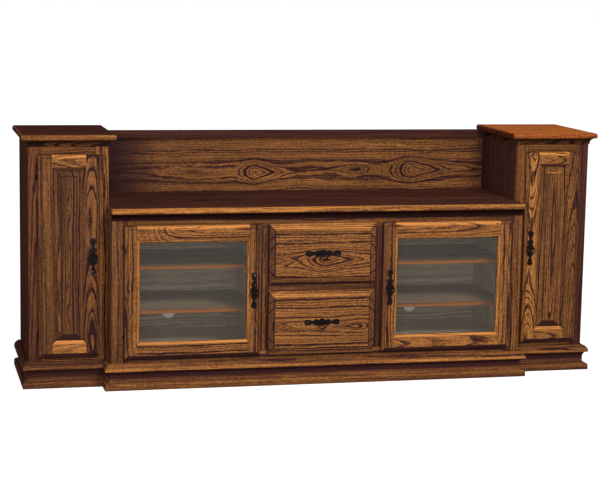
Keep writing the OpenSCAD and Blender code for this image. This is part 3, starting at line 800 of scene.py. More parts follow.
class Finish(Enum):
    """Every finish on the wall unit."""

    OAK = StainedOak("stained_oak")
    TOP = StainedOak("stained_oak_top", dark=stain(54, 28, 33), sheen=0.0)
    # A lighter, more orange copy of the oak for the right pier's top: painted highlight.
    LIT_TOP = StainedOak("stained_oak_lit_top", stain(204, 118, 58), stain(156, 84, 40), sheen=0.0)
    # Paler, more orange lipping for the shelves' edges, partly painted highlight.
    LIP = StainedOak("stained_oak_lip", stain(168, 98, 22), stain(140, 79, 16))
    SIDE = StainedOak("stained_oak_side", dark=stain(57, 31, 33), sheen=0.0)
    # A darker copy of the oak for the coves: painted shade.
    SHADE = StainedOak("stained_oak_painted_shade", dark=stain(36, 19, 18), sheen=0.0)
    HIDDEN = StainedOak("stained_oak_hidden", way=Way.ACROSS_FRONT)
    BACK = StainedOak(
        "stained_oak_back", stain(216, 196, 168), stain(184, 164, 138), stain(134, 114, 96),
        way=Way.ACROSS_FRONT,
    )
    SHELF = StainedOak(
        "stained_oak_shelf", stain(196, 174, 148), stain(166, 144, 120), stain(122, 102, 84)
    )
    INSIDE = StainedOak("stained_oak_inside_boards", *PALE)
    INSIDE_ACROSS = StainedOak("stained_oak_inside_across_front", *PALE, way=Way.ACROSS_FRONT)
    INSIDE_UPRIGHT = StainedOak("stained_oak_inside_upright", *PALE, way=Way.UPRIGHT)
    DRAWER = StainedOak(
        "drawer_wood", stain(206, 176, 130), stain(184, 150, 104), stain(140, 104, 64),
        way=Way.TO_THE_BACK,
    )
    METAL = AntiqueMetal("antique_metal", wear=0.3)
    RING_METAL = AntiqueMetal("antique_metal_ring", wear=0.2)
    STEEL = ZincSteel()
    GLASS = TintedGlass()

    @cache
    def material(self) -> Material:
        """The finish's material, built once."""
        return self.value.material()


def arc(centre: Point, radii: Point, start: float, end: float, steps: int = 9) -> list[Point]:
    """Points along a quarter of an ellipse or another part of it.

    Args:
        centre: Middle of the ellipse.
        radii: Its half width and half height.
        start: First angle in degrees.
        end: Last angle in degrees.
        steps: Number of straight steps.

    Returns:
        The points in order.
    """
    angles = [math.radians(start + (end - start) * i / steps) for i in range(steps + 1)]
    (x, y), (wide, high) = centre, radii
    return [(x + wide * math.cos(a), y + high * math.sin(a)) for a in angles]


def soften(board: BMesh, edges: Sequence[Any], radius: float, steps: int = 2) -> None:
    """Rounds edges of a board as a plane and sandpaper would.

    Args:
        board: The board.
        edges: What is rounded.
        radius: Radius of the round.
        steps: Flats in the round.
    """
    bmesh.ops.bevel(
        board, geom=list(edges), offset=radius, offset_type="OFFSET", segments=steps,
        profile=0.5, affect="EDGES", material=-1, clamp_overlap=True,
    )


def round_rim(
    board: BMesh, level: float, radius: float, steps: int, outside: Callable[[Vector], bool]
) -> None:
    """Rounds the outer edges of a board at one height.

    Args:
        board: The board.
        level: The height.
        radius: Radius of the round.
        steps: Flats in the round.
        outside: Says whether the middle of an edge is on the outside.
    """
    edges = []
    for edge in board.edges:
        start, end = (vert.co for vert in edge.verts)
        high = max(abs(start.z - level), abs(end.z - level)) < TOUCH
        if high and outside((start + end) / 2):
            edges.append(edge)
    soften(board, edges, radius, steps)


def plank(box: Box, ease: float = 0.0008) -> BMesh:
    """A squared board with its arrises taken off.

    Args:
        box: Its left and right, front and back, bottom and top.
        ease: Radius along its edges, or nought for none.

    Returns:
        The board.
    """
    board = bmesh.new()
    bmesh.ops.create_cube(board, size=1.0)
    bmesh.ops.scale(board, vec=[high - low for low, high in box], verts=board.verts)
    bmesh.ops.translate(board, vec=[(low + high) / 2 for low, high in box], verts=board.verts)
    if ease:
        soften(board, board.edges[:], ease)
    return board


def saw(
    board: BMesh, point: Sequence[float], away: Sequence[float], through: bool = True
) -> None:
    """Saws a board along a plane and closes the cut, or scores it.

    Args:
        board: The board.
        point: A point on the plane.
        away: Direction towards the part that falls away.
        through: Whether it is sawn, not scored.
    """
    whole = board.verts[:] + board.edges[:] + board.faces[:]
    plane = {"plane_co": Vector(point), "plane_no": Vector(away)}
    bmesh.ops.bisect_plane(board, geom=whole, dist=KERF, clear_outer=through, **plane)
    if through:
        open_edges = [e for e in board.edges if e.is_boundary]
        bmesh.ops.holes_fill(board, edges=open_edges, sides=0)


def moulding(
    section: Sequence[Point], length: float, out: float,
    start: End = End.SQUARE, end: End = End.SQUARE,
) -> BMesh:
    """Runs a moulding along x, with its section in y, outwards negative, and z.

    Args:
        section: Corners of the section.
        length: Length along its back.
        out: How far the section stands out.
        start: How its left end is sawn.
        end: How its right end is sawn.

    Returns:
        The moulding.
    """
    bar = bmesh.new()
    spare = out + SPARE
    face = bar.faces.new([bar.verts.new((-spare, y, z)) for y, z in section])
    grown = bmesh.ops.extrude_face_region(bar, geom=[face])["geom"]
    moved = [g for g in grown if isinstance(g, bmesh.types.BMVert)]
    bmesh.ops.translate(bar, vec=(length + 2 * spare, 0, 0), verts=moved)
    saw(bar, (0, 0, 0), (-1, start.value, 0))
    saw(bar, (length, 0, 0), (1, end.value, 0))
    return bar


def raised_slab(box: Box, steps: Sequence[Point]) -> BMesh:
    """A slab whose front rises inwards in steps, alike on all four sides.

    Args:
        box: Its left and right, front of its outer edge and back, bottom and top.
        steps: Width inwards and rise forwards of each step.

    Returns:
        The slab.
    """
    slab = plank(box, ease=0)
    face = min(slab.faces, key=lambda f: f.calc_center_median().y)
    even = {"use_even_offset": True, "use_boundary": True}
    for inwards, forwards in steps:
        bmesh.ops.inset_region(slab, faces=[face], thickness=inwards, depth=forwards, **even)
    return slab


def bevel_steps(bevel: float, line: float, rise: float, step: float) -> list[Point]:
    """The steps of a bevel, its inner line apart, and of the field's small step.

    Args:
        bevel: Width of the bevel.
        line: Width of the line along its inner edge.
        rise: Rise of the bevel.
        step: Rise of the field over it.

    Returns:
        Width inwards and rise forwards of each step.
    """
    share = line / bevel
    return [(bevel - line, rise * (1 - share)), (line, rise * share), (HAIR, step)]


class Woodwork:
    """A piece of boards, each with its grain, stain and painted light and shade beside its
    shape.
    """

    def __init__(self) -> None:
        """Starts with no boards."""
        self.whole = bmesh.new()
        self.shift = 0.0

    def add(
        self, board: BMesh, lay: Lay, box: Box, figure: Figure, place: Matrix = HERE,
        painted_light: PaintedLight = Facing(), same: bool = False, slope: float = 1.0,
    ) -> None:
        """Puts a board in its place.

        Args:
            board: The board, which is used up.
            lay: How it lies.
            box: Its left and right, front and back, bottom and top.
            figure: Where it lay in its log.
            place: The move to its place.
            painted_light: Painted light and shade on it.
            same: Whether it was worked on the same board as the part before it.
            slope: How strongly its rings lean away under a bevel.
        """
        board.normal_update()
        bmesh.ops.recalc_face_normals(board, faces=board.faces)
        if not same:
            self.shift = STOCK.shift()
        along, across = Vector(lay.value[0]), Vector(lay.value[1])
        inwards = along.cross(across)
        middles = [a * (1 - share) + b * share for (a, b), share in zip(box, lay.value[2])]
        lie = board.verts.layers.float_vector.new("grain")
        mark = board.verts.layers.float_vector.new("board")
        plain = board.verts.layers.float.new("plain")
        eyes = [board.verts.layers.float_vector.new(name) for name in EYES]
        for vert in board.verts:
            off = vert.co - Vector(middles)
            u, v = off.dot(along), off.dot(across)
            w = off.dot(inwards) * slope + figure.depth + figure.tilt * u
            vert[lie] = (u + self.shift, v - figure.pith, w)
            vert[mark] = (figure.tone, 1 / figure.ring, figure.stain_and_shade)
            vert[plain] = figure.plain
            for layer in eyes:
                vert[layer] = NO_EYE
            for layer, eye in zip(eyes, figure.eyes):
                spot = ((u - eye.along) / eye.long, (v - eye.across) / eye.wide)
                vert[layer] = (*spot, eye.swell)
        ends = board.faces.layers.float.new("end_grain")
        # Painted light and shade, kept on each corner.
        painted_layer = board.loops.layers.float.new("painted_light")
        for face in board.faces:
            face[ends] = max(0.0, 2 * abs(face.normal.dot(along)) - 1)
            middle = face.calc_center_median()
            for loop in face.loops:
                loop[painted_layer] = painted_light(Spot(face.normal, middle, loop.vert.co))
        board.transform(place)
        if place.determinant() < 0:
            bmesh.ops.reverse_faces(board, faces=board.faces)
        loose = bpy.data.meshes.new("board")
        board.to_mesh(loose)
        board.free()
        self.whole.from_mesh(loose)
        bpy.data.meshes.remove(loose)

    def plank(
        self, box: Box, lay: Lay, figure: Figure, place: Matrix = HERE,
        painted_light: PaintedLight = Facing(), ease: float = 0.0008,
    ) -> None:
        """Adds a squared board.

        Args:
            box: Its left and right, front and back, bottom and top.
            lay: How it lies.
            figure: Where it lay in its log.
            place: The move to its place.
            painted_light: Painted light and shade on it.
            ease: Radius along its edges, or nought for none.
        """
        board = plank(box, ease)
        if isinstance(painted_light, Fade):
            painted_light.score(board)
        self.add(board, lay, box, figure, place, painted_light)

    def piece(
        self, name: str, node: str, finish: Finish, body: str = "carcass",
        inside: Finish | None = None, marked: Callable[[Any], bool] | None = None,
    ) -> None:
        """Makes the object, finishes it and fixes it to its body.

        Args:
            name: Its name.
            node: The plain solid that it stands for.
            finish: Its finish.
            body: The body that it moves with.
            inside: A second finish, if it has one.
            marked: Says which faces get the second finish.
        """
        mesh = bpy.data.meshes.new(name)
        self.whole.to_mesh(mesh)
        self.whole.free()
        item = put(name, mesh)
        mesh.shade_smooth()
        mesh.set_sharp_from_angle(angle=SHARP)
        mesh.materials.append(finish.material())
        if inside and marked:
            mesh.materials.append(inside.material())
            for face in mesh.polygons:
                face.material_index = int(marked(face))
        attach(item, body)
        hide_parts(node)
        log.info("%s: %d faces, on %s", name, len(mesh.polygons), body)


def cove_section(high: float, out: float) -> list[Point]:
    """Section of the cove mouldings under the counter and the pier tops.

    Args:
        high: Height of the moulding.
        out: How far it stands out.

    Returns:
        Its corners, with its top at nought.
    """
    hollow = arc((0.001 - out, -high * 5 / 6), (out * 3 / 4 - 0.001, high * 2 / 3), 90, 0)
    return [(0, 0), (-out, 0), (-out, -high / 6), *hollow, (-out / 4, -high), (0, -high)]


def quarter_turn(x: float, y: float, z: float) -> Matrix:
    """The move that lays a moulding along a right-hand side, going back."""
    return Matrix.Translation((x, y, z)) @ Matrix.Rotation(math.pi / 2, 4, "Z")


@dataclass
class Course:
    """One course of the base moulding.

    Args:
        word: Its word in the names of pieces.
        section: Corners of its section, its foot at nought.
        foot: Height of its foot.
        painted_light: Its painted light and shade, over its height.
        out: How far it stands out.
        high: Height that its grain is laid out over.
    """

    word: str
    section: list[Point]
    foot: float
    painted_light: Fade
    out: float
    high: float

    def run(
        self, work: Woodwork, length: float, ends: tuple[End, End], place: Matrix,
        figure: Figure,
    ) -> None:
        """Adds one length of the course.

        Args:
            work: The piece that it belongs to.
            length: Its length along the back.
            ends: How its two ends are sawn.
            place: Its move to its place.
            figure: Where its board lay in the log.
        """
        bar = moulding(self.section, length, self.out, *ends)
        box = ((0, length), (-self.out, 0), (0, self.high))
        work.add(bar, Lay.LYING, box, figure, place, self.painted_light)


@dataclass
class BaseMoulding:
    """The two courses of moulding that the unit stands on."""

    high: float = 0.094
    out: float = 0.0245
    waist: float = 0.007
    plinth_high: float = 0.042
    plinth_face: float = 0.016
    bead: float = 0.008
    ogee: float = 0.024
    neck: float = 0.008
    fillet: float = 0.001
    foot: float = 0.006
    lip: float = 0.002
    joint: float = 0.0003

    def cap(self) -> list[Point]:
        """Draws the section of the upper course.

        Returns:
            Its corners, with its foot at nought.
        """
        tall = self.high - self.plinth_high
        nose = tall - self.ogee
        size = (self.out - self.fillet - self.waist, nose - (self.foot + self.lip))
        under = arc((self.fillet - self.out, self.foot), size, 0, 90)
        over = arc((-self.lip, nose), (self.out - self.lip, tall - nose), 180, 90, 14)
        return [(0, 0), (-self.waist, 0), *under, *over, (0, tall)]

    def plinth(self) -> list[Point]:
        """Draws the section of the lower course.

        Returns:
            Its corners, with its foot at nought.
        """
        neck, inner = self.plinth_high - self.neck, self.bead - self.out
        rise = min(self.bead, (neck - self.plinth_face) / 2)
        nose = arc((inner, self.plinth_face), (self.bead, rise), 180, 90)
        size = (self.out - self.bead - self.waist, neck - self.plinth_face - rise)
        hollow = arc((inner, neck), size, -90, 0)
        top = self.plinth_high - self.joint
        return [(0, 0), (-self.out, 0), *nose, *hollow, (-self.waist, top), (0, top)]

    def courses(self) -> list[Course]:
        """Lays out the two courses.

        Returns:
            The plinth and the cap, each with its painted light and shade.
        """
        nose = self.high - self.plinth_high - self.ogee
        face, top = self.plinth_face, self.plinth_high
        bead = face + self.bead
        # Painted shade at the plinth's foot, hollow and top, a painted highlight on its bead;
        # painted shade under the cap's nose, a painted highlight on the nose.
        plinth = (
            (0.0, -0.5), (0.003, -0.1), (face, 0.0), (bead - 0.003, 0.2),
            (bead + 0.002, -0.15), (top - 0.006, -0.3), (top, -0.8),
        )
        cap = (
            (0.0, -0.95), (nose - 0.007, -0.95), (nose - 0.002, 0.35), (nose + 0.005, 0.35),
            (nose + 0.012, -0.3),
        )
        rest = (self.out, self.high / 2)
        return [
            Course("plinth", self.plinth(), 0.0, Fade(plinth), *rest),
            Course("cap", self.cap(), top, Fade(cap), *rest),
        ]


@dataclass
class Console:
    """The low middle cabinet, without its doors and drawers."""

    wide: float = 1.524
    high: float = 0.65
    counter_thick: float = 0.02
    overhang: float = 0.026
    top_round: float = 0.008
    low_round: float = 0.005
    crown_high: float = 0.024
    crown_out: float = 0.02
    frame_thick: float = 0.019
    outer_stile: float = 0.058
    divider_stile: float = 0.055
    bay: float = 0.368
    top_rail: float = 0.056
    drawer_rail: float = 0.055
    upper_bay: float = 0.189
    deck: float = 0.125
    side_thick: float = 0.019
    divider_thick: float = 0.016
    back_thick: float = 0.006
    shelf_thick: float = 0.015
    shelf_setback: float = 0.071
    shelf_gap: float = 0.0015
    shelf_rises: Span = (0.143, 0.304)
    lipping: float = 0.005
    lip_round: float = 0.0015
    turned_in: float = 0.6
    pier_front: float = 0.078
    joint: float = 0.0002
    # Painted shadows on the face frame: beside the doors on the outer stiles, beside doors and
    # drawers on the dividers with a lightened strip between, under the doors and round the
    # drawer rail.
    stile_shades: tuple[tuple[Point, ...], ...] = (
        ((0.7, -0.7), (0.7195, -0.7), (0.7225, 0.0)),
        ((0.7, -0.7), (0.7255, -0.7), (0.729, 0.0)),
    )
    divider_shades: tuple[tuple[Point, ...], ...] = (
        (
            (0.19, 0.0), (0.196, -0.7), (0.203, -0.7), (0.206, 0.2), (0.2155, 0.2),
            (0.218, -0.8),
        ),
        (
            (0.19, 0.0), (0.203, -0.9), (0.207, -0.9), (0.21, -0.2), (0.2215, -0.2),
            (0.2245, -0.9),
        ),
    )
    low_rail_shade: tuple[Point, ...] = (
        (0.1, 0.0), (0.1045, -0.95), (0.109, -0.95), (0.1115, 0.0)
    )
    drawer_rail_shade: tuple[Point, ...] = (
        (0.3445, -0.7), (0.35, -0.1), (0.361, -0.1), (0.3665, -0.95)
    )

    @property
    def under(self) -> float:
        """Height of the counter's underside."""
        return self.high - self.counter_thick

    @property
    def half(self) -> float:
        """Half the width."""
        return self.wide / 2

    def counter(self) -> None:
        """Makes the counter and the cove moulding under it."""
        front = FRONT - self.overhang
        x = (-self.half, self.half)
        box = (x, (front, BACK - self.back_thick), (self.under, self.high))
        slab = plank(box, ease=0)
        rims = ((self.high, self.top_round, 8), (self.under, self.low_round, 6))
        for level, radius, steps in rims:
            round_rim(slab, level, radius, steps, lambda p: p.y < front + TOUCH)
        work = Woodwork()
        # Painted shade on the counter's top, and its front and rounds lightened as a painted
        # highlight.
        painted_light = Facing(-0.78, 0.35, 0.35, 0.35, LEVEL)
        work.add(slab, Lay.FLAT, box, Figure(0.05, 0.09, 0.02, 0.1, plain=0.3), painted_light=painted_light)
        work.piece("counter_board", "counter_top", Finish.TOP)
        section = cove_section(self.crown_high, self.crown_out)
        cove = moulding(section, self.wide, self.crown_out)
        work = Woodwork()
        box = (x, (-self.crown_out, 0), (-self.crown_high, 0))
        place = Matrix.Translation((-self.half, FRONT, self.under))
        # The cove is darkened all over as painted shade.
        work.add(cove, Lay.LYING, box, STOCK.figure(), place, Facing(-1.0, -1.0, -1.0, -1.0))
        work.piece("counter_cove", "counter_crown", Finish.SHADE)

    def frame_boards(self) -> None:
        """Makes the stiles and rails of the face frame."""
        y = (FRONT, FRONT + self.frame_thick)
        under, rail_low = self.under, self.under - self.top_rail
        outer = (self.half - self.outer_stile, self.half)
        inner = (self.bay / 2, self.bay / 2 + self.divider_stile)
        inner_z = (self.deck + self.joint, rail_low - self.joint)
        work = Woodwork()
        for side in Side:
            right = side is Side.RIGHT
            # Painted shadows beside the doors and drawers on the stiles; the right divider's
            # heavier wash is partly painted shadow from the right door.
            for x, z, stain_and_shade, shades in (
                (outer, (0.0, under), 0.0, self.stile_shades),
                (inner, inner_z, 0.5 if right else 0.0, self.divider_shades),
            ):
                figure = STOCK.figure(-0.1, stain_and_shade, 0.8, 0.2)
                painted_light = Fade(shades[right], 0)
                work.plank((x, y, z), Lay.UPRIGHT, figure, side.place(), painted_light)
        work.piece("face_frame_stiles", "console_frame_stiles", Finish.OAK)
        long = self.half - self.outer_stile - self.joint
        short = self.bay / 2 - self.joint
        low = rail_low - self.upper_bay
        no_shade = ((rail_low, 0.0), (under, 0.0))
        # Painted shadow under the doors on the lower rail and round the drawer rail.
        rails = (
            (long, (rail_low, under), STOCK.figure(-0.15, 0.1, 0.8), no_shade),
            (long, (0.0, self.deck), STOCK.figure(-0.1, 0.1, 0.8), self.low_rail_shade),
            (
                short, (low - self.drawer_rail, low), STOCK.figure(-0.1, 0.2, 0.7, 0.4),
                self.drawer_rail_shade,
            ),
        )
        work = Woodwork()
        for half, z, figure, shade in rails:
            work.plank(((-half, half), y, z), Lay.LYING, figure, painted_light=Fade(shade))
        work.piece("face_frame_rails", "console_frame_rails", Finish.OAK)

    def case(self) -> None:
        """Makes the sides and the shelves behind the glass."""
        inside = self.half - self.side_thick
        behind = FRONT + self.frame_thick
        middle = self.bay / 2 + (self.divider_stile + self.divider_thick) / 2
        x = (middle + self.shelf_gap, inside - self.shelf_gap)
        front = behind + self.shelf_setback
        lip = (front, front + self.lipping)
        board = (lip[1], BACK - self.back_thick - self.shelf_gap)
        side_box = ((inside, self.half), (behind, BACK), (0.0, self.under))
        sides, shelves = Woodwork(), Woodwork()
        for side in Side:
            figure = STOCK.figure(-0.1, 0.3, cut=Cut.FLAT)
            sides.plank(side_box, Lay.SIDEWAYS, figure, side.place())
            for rise in self.shelf_rises:
                low, top = z = (self.deck + rise - self.shelf_thick, self.deck + rise)
                figure = STOCK.figure(0.1)
                shelves.plank((x, board, z), Lay.FLAT, figure, side.place(), ease=0)
                # Painted highlight on the lip's lower edge and top arris, painted shade on its
                # face.
                marks = ((low, 0.9), (low + 0.009, 0.8), (low + 0.011, -0.3))
                painted_light = Fade((*marks, (top - self.lip_round, -0.3), (top, 0.3)))
                figure = STOCK.figure(0.15, plain=0.8)
                shelves.plank(
                    (x, lip, z), Lay.LYING, figure, side.place(), painted_light, self.lip_round
                )
        sides.piece(
            "console_side_boards", "console_sides", Finish.SIDE, inside=Finish.INSIDE,
            marked=lambda face: face.normal.x * face.center.x < -self.turned_in,
        )
        shelves.piece(
            "console_shelf_boards", "console_shelves", Finish.LIP, inside=Finish.SHELF,
            marked=lambda face: face.center.y > lip[1] + TOUCH,
        )

    def base(self) -> None:
        """Makes the base moulding, mitred round the front corners."""
        for course in BaseMoulding().courses():
            work = Woodwork()
            tone, plain = (0.0, 0.7) if course.word == "plinth" else (0.1, 0.2)
            figure = STOCK.figure(tone, 0.0, 0.8, plain)
            place = Matrix.Translation((-self.half, FRONT, course.foot))
            course.run(work, self.wide, (End.OUTWARD, End.OUTWARD), place, figure)
            for side in Side:
                figure = STOCK.figure(0.0, 0.3)
                place = side.place() @ quarter_turn(self.half, FRONT, course.foot)
                course.run(work, self.pier_front, (End.OUTWARD, End.INWARD), place, figure)
            node = "console_base_" + course.word
            work.piece(node + "_moulding", node, Finish.TOP)

    def build(self) -> None:
        """Builds the console."""
        for part in (self.counter, self.frame_boards, self.case, self.base):
            part()


@dataclass
class Bridge:
    """The back panel above the counter, and the rail along its top."""

    wide: float = 1.524
    top: float = 0.883
    counter_under: float = 0.63
    panel_thick: float = 0.006
    rail_high: float = 0.03
    rail_thick: float = 0.019
    rail_round: float = 0.0012
    figure: Figure = Figure(
        0.0315, 0.07, 0.004, -0.03, 0.85, 0.05, (
            Eye(0.475, 0.0315, 0.1, 0.045, -0.036), Eye(-0.15, 0.037, 0.08, 0.042, -0.03),
            Eye(0.25, 0.028, -0.06, 0.014, -0.018),
        ), 0.3,
    )

    def build(self) -> None:
        """Builds the panel and its rail."""
        left, right = x = (-self.wide / 2, self.wide / 2)
        front = BACK - self.panel_thick
        # Painted shade at both ends of the panel, deepest at the left end beside the left
        # pier.
        marks = (
            (left, -1.0), (left + 0.08, -0.95), (left + 0.15, -0.7), (left + 0.26, 0.0),
            (right - 0.24, 0.0), (right - 0.12, -0.15), (right, -0.25),
        )
        work = Woodwork()
        box = (x, (front, BACK), (self.counter_under, self.top))
        work.plank(box, Lay.LYING, self.figure, painted_light=Fade(marks, 0), ease=0)
        work.piece("bridge_back", "bridge_panel", Finish.OAK)
        work = Woodwork()
        box = (x, (front - self.rail_thick, front), (self.top - self.rail_high, self.top))
        # Painted shade on the rail's underside.
        figure, painted_light = STOCK.figure(-0.2, 0.8), Facing(down=-1.0)
        work.plank(box, Lay.LYING, figure, painted_light=painted_light, ease=self.rail_round)
        work.piece("bridge_top_rail", "bridge_rail", Finish.SIDE)


@dataclass
class Pier:
    """One of the tall end cabinets, without its door."""

    side: Side
    inner: float = 0.762
    wide: float = 0.282
    high: float = 0.902
    top_thick: float = 0.019
    top_out: float = 0.025
    top_round: float = 0.007
    low_round: float = 0.005
    crown_high: float = 0.023
    crown_out: float = 0.013
    frame_thick: float = 0.019
    stile: float = 0.046
    top_rail: float = 0.064
    deck: float = 0.125
    side_thick: float = 0.016
    rail_back: float = 0.025
    joint: float = 0.0002
    foot_darkening: tuple[Point, ...] = ((0.0, -0.5), (0.3, -0.35), (0.56, 0.0))

    @property
    def outer(self) -> float:
        """The pier's outer side, seen at the right-hand end."""
        return self.inner + self.wide

    @property
    def under(self) -> float:
        """Height of the top board's underside."""
        return self.high - self.top_thick

    def top(self) -> Woodwork:
        """Makes the top board, rounded on three sides.

        Returns:
            The piece.
        """
        left, right = x = (self.inner - self.top_out, self.outer + self.top_out)
        front = PIER_FRONT - self.top_out
        box = (x, (front, BACK), (self.under, self.high))
        board = plank(box, ease=0)

        def outside(p: Vector) -> bool:
            """Whether a point is on the front or a side of the board."""
            return p.y < front + TOUCH or p.x < left + TOUCH or p.x > right - TOUCH

        round_rim(board, self.high, self.top_round, 7, outside)
        round_rim(board, self.under, self.low_round, 5, outside)
        work = Woodwork()
        # Painted highlight on the right pier's top, painted shade on the left pier's, its
        # rounds a little darker.
        top_light, edge = (0.8 if self.side is Side.RIGHT else -0.8), -0.05
        painted_light = Facing(top_light, edge, edge, edge, LEVEL)
        figure = Figure(0.02, 0.06, 0.03, 0.0, plain=0.6)
        work.add(board, Lay.FLAT, box, figure, self.side.place(), painted_light)
        return work

    def crown(self) -> Woodwork:
        """Makes the cove under the top board, round the front and both sides.

        Returns:
            The piece.
        """
        work = Woodwork()
        section = cove_section(self.crown_high, self.crown_out)
        deep = BACK - PIER_FRONT
        front = Matrix.Translation((self.inner, PIER_FRONT, self.under))
        turn_in = Matrix.Translation((2 * self.inner, 0, 0)) @ Matrix.Diagonal((-1, 1, 1, 1))
        inwards = turn_in @ quarter_turn(self.inner, PIER_FRONT, self.under)
        for length, end, place in (
            (self.wide, End.OUTWARD, front),
            (deep, End.SQUARE, quarter_turn(self.outer, PIER_FRONT, self.under)),
            (deep - self.rail_back, End.SQUARE, inwards),
        ):
            bar = moulding(section, length, self.crown_out, End.OUTWARD, end)
            # A heavy wash darkens the cove, partly painted shade.
            figure = STOCK.figure(-0.1, 0.7, 0.6, -0.6, Cut.FLAT)
            box = ((0, length), (-self.crown_out, 0), (-self.crown_high, 0))
            work.add(bar, Lay.LYING, box, figure, self.side.place() @ place)
        return work

    def sides(self) -> Woodwork:
        """Makes the two side panels.

        Returns:
            The piece.
        """
        work = Woodwork()
        y = (PIER_FRONT + self.frame_thick, BACK)
        for low in (self.inner, self.outer - self.side_thick):
            box = ((low, low + self.side_thick), y, (0.0, self.under))
            # A heavy wash darkens the sides, partly painted shade.
            figure = STOCK.figure(-0.2, 0.76, plain=-0.3)
            work.plank(box, Lay.SIDEWAYS, figure, self.side.place())
        return work

    def frame_boards(self) -> Woodwork:
        """Makes the face frame.

        Returns:
            The piece.
        """
        work = Woodwork()
        y = (PIER_FRONT, PIER_FRONT + self.frame_thick)
        place, top = self.side.place(), self.under
        even = marks = ((0.0, 0.0), (top, 0.0))
        # The left pier's outer stile carries a heavier wash, partly painted shade, and grows
        # darker towards its foot.
        if self.side is Side.LEFT:
            marks = self.foot_darkening
            inner = STOCK.figure(0.1)
            outer = Figure(-0.016, 0.03, 0.045, -0.1, 1.1, 0.35, plain=-0.7)
        else:
            inner = STOCK.figure(-0.1, 0.1, 0.6, 0.4)
            outer = STOCK.figure(-0.2, 0.65, plain=-0.5)
        inner_x = (self.inner, self.inner + self.stile)
        outer_x = (self.outer - self.stile, self.outer)
        for x, figure, shade in ((inner_x, inner, even), (outer_x, outer, marks)):
            work.plank((x, y, (0.0, top)), Lay.UPRIGHT, figure, place, Fade(shade))
        x = (inner_x[1] + self.joint, outer_x[0] - self.joint)
        for z in ((0.0, self.deck), (top - self.top_rail, top)):
            work.plank((x, y, z), Lay.LYING, STOCK.figure(-0.05, plain=0.3), place)
        return work

    def base(self) -> Woodwork:
        """Makes the base moulding along the front and the outer side.

        Returns:
            The piece.
        """
        work = Woodwork()
        # The left pier's base gets a heavier wash as painted shade.
        stain_and_shade = 0.4 if self.side is Side.LEFT else 0.0
        for course in BaseMoulding().courses():
            figure = STOCK.figure(-0.05, stain_and_shade, plain=0.4 if course.word == "plinth" else 0.1)
            start = Matrix.Translation((self.inner, PIER_FRONT, course.foot))
            place = self.side.place() @ start
            course.run(work, self.wide, (End.INWARD, End.OUTWARD), place, figure)
            # The run along the outer side gets a heavy wash, partly painted shade.
            figure = STOCK.figure(-0.1, 0.7, cut=Cut.FLAT)
            place = self.side.place() @ quarter_turn(self.outer, PIER_FRONT, course.foot)
            course.run(work, BACK - PIER_FRONT, (End.OUTWARD, End.SQUARE), place, figure)
        return work

    def build(self) -> None:
        """Builds the pier."""
        top_finish = Finish.LIT_TOP if self.side is Side.RIGHT else Finish.TOP
        middle = self.side.value * (self.inner + self.wide / 2)
        # The coves take the darker copy of the oak as painted shade, the right pier's top the
        # lighter one as a painted highlight.
        for part, work, finish in (
            ("top", self.top(), top_finish),
            ("crown", self.crown(), Finish.SHADE),
            ("sides", self.sides(), Finish.SIDE),
            ("frame", self.frame_boards(), Finish.SIDE),
            ("base", self.base(), Finish.SIDE),
        ):
            node = f"{self.side.word}_pier_{part}"
            work.piece(
                node + "_oak", node, finish, inside=Finish.INSIDE if part == "sides" else None,
                marked=lambda face: face.normal.x * (middle - face.center.x) > self.wide / 4,
            )


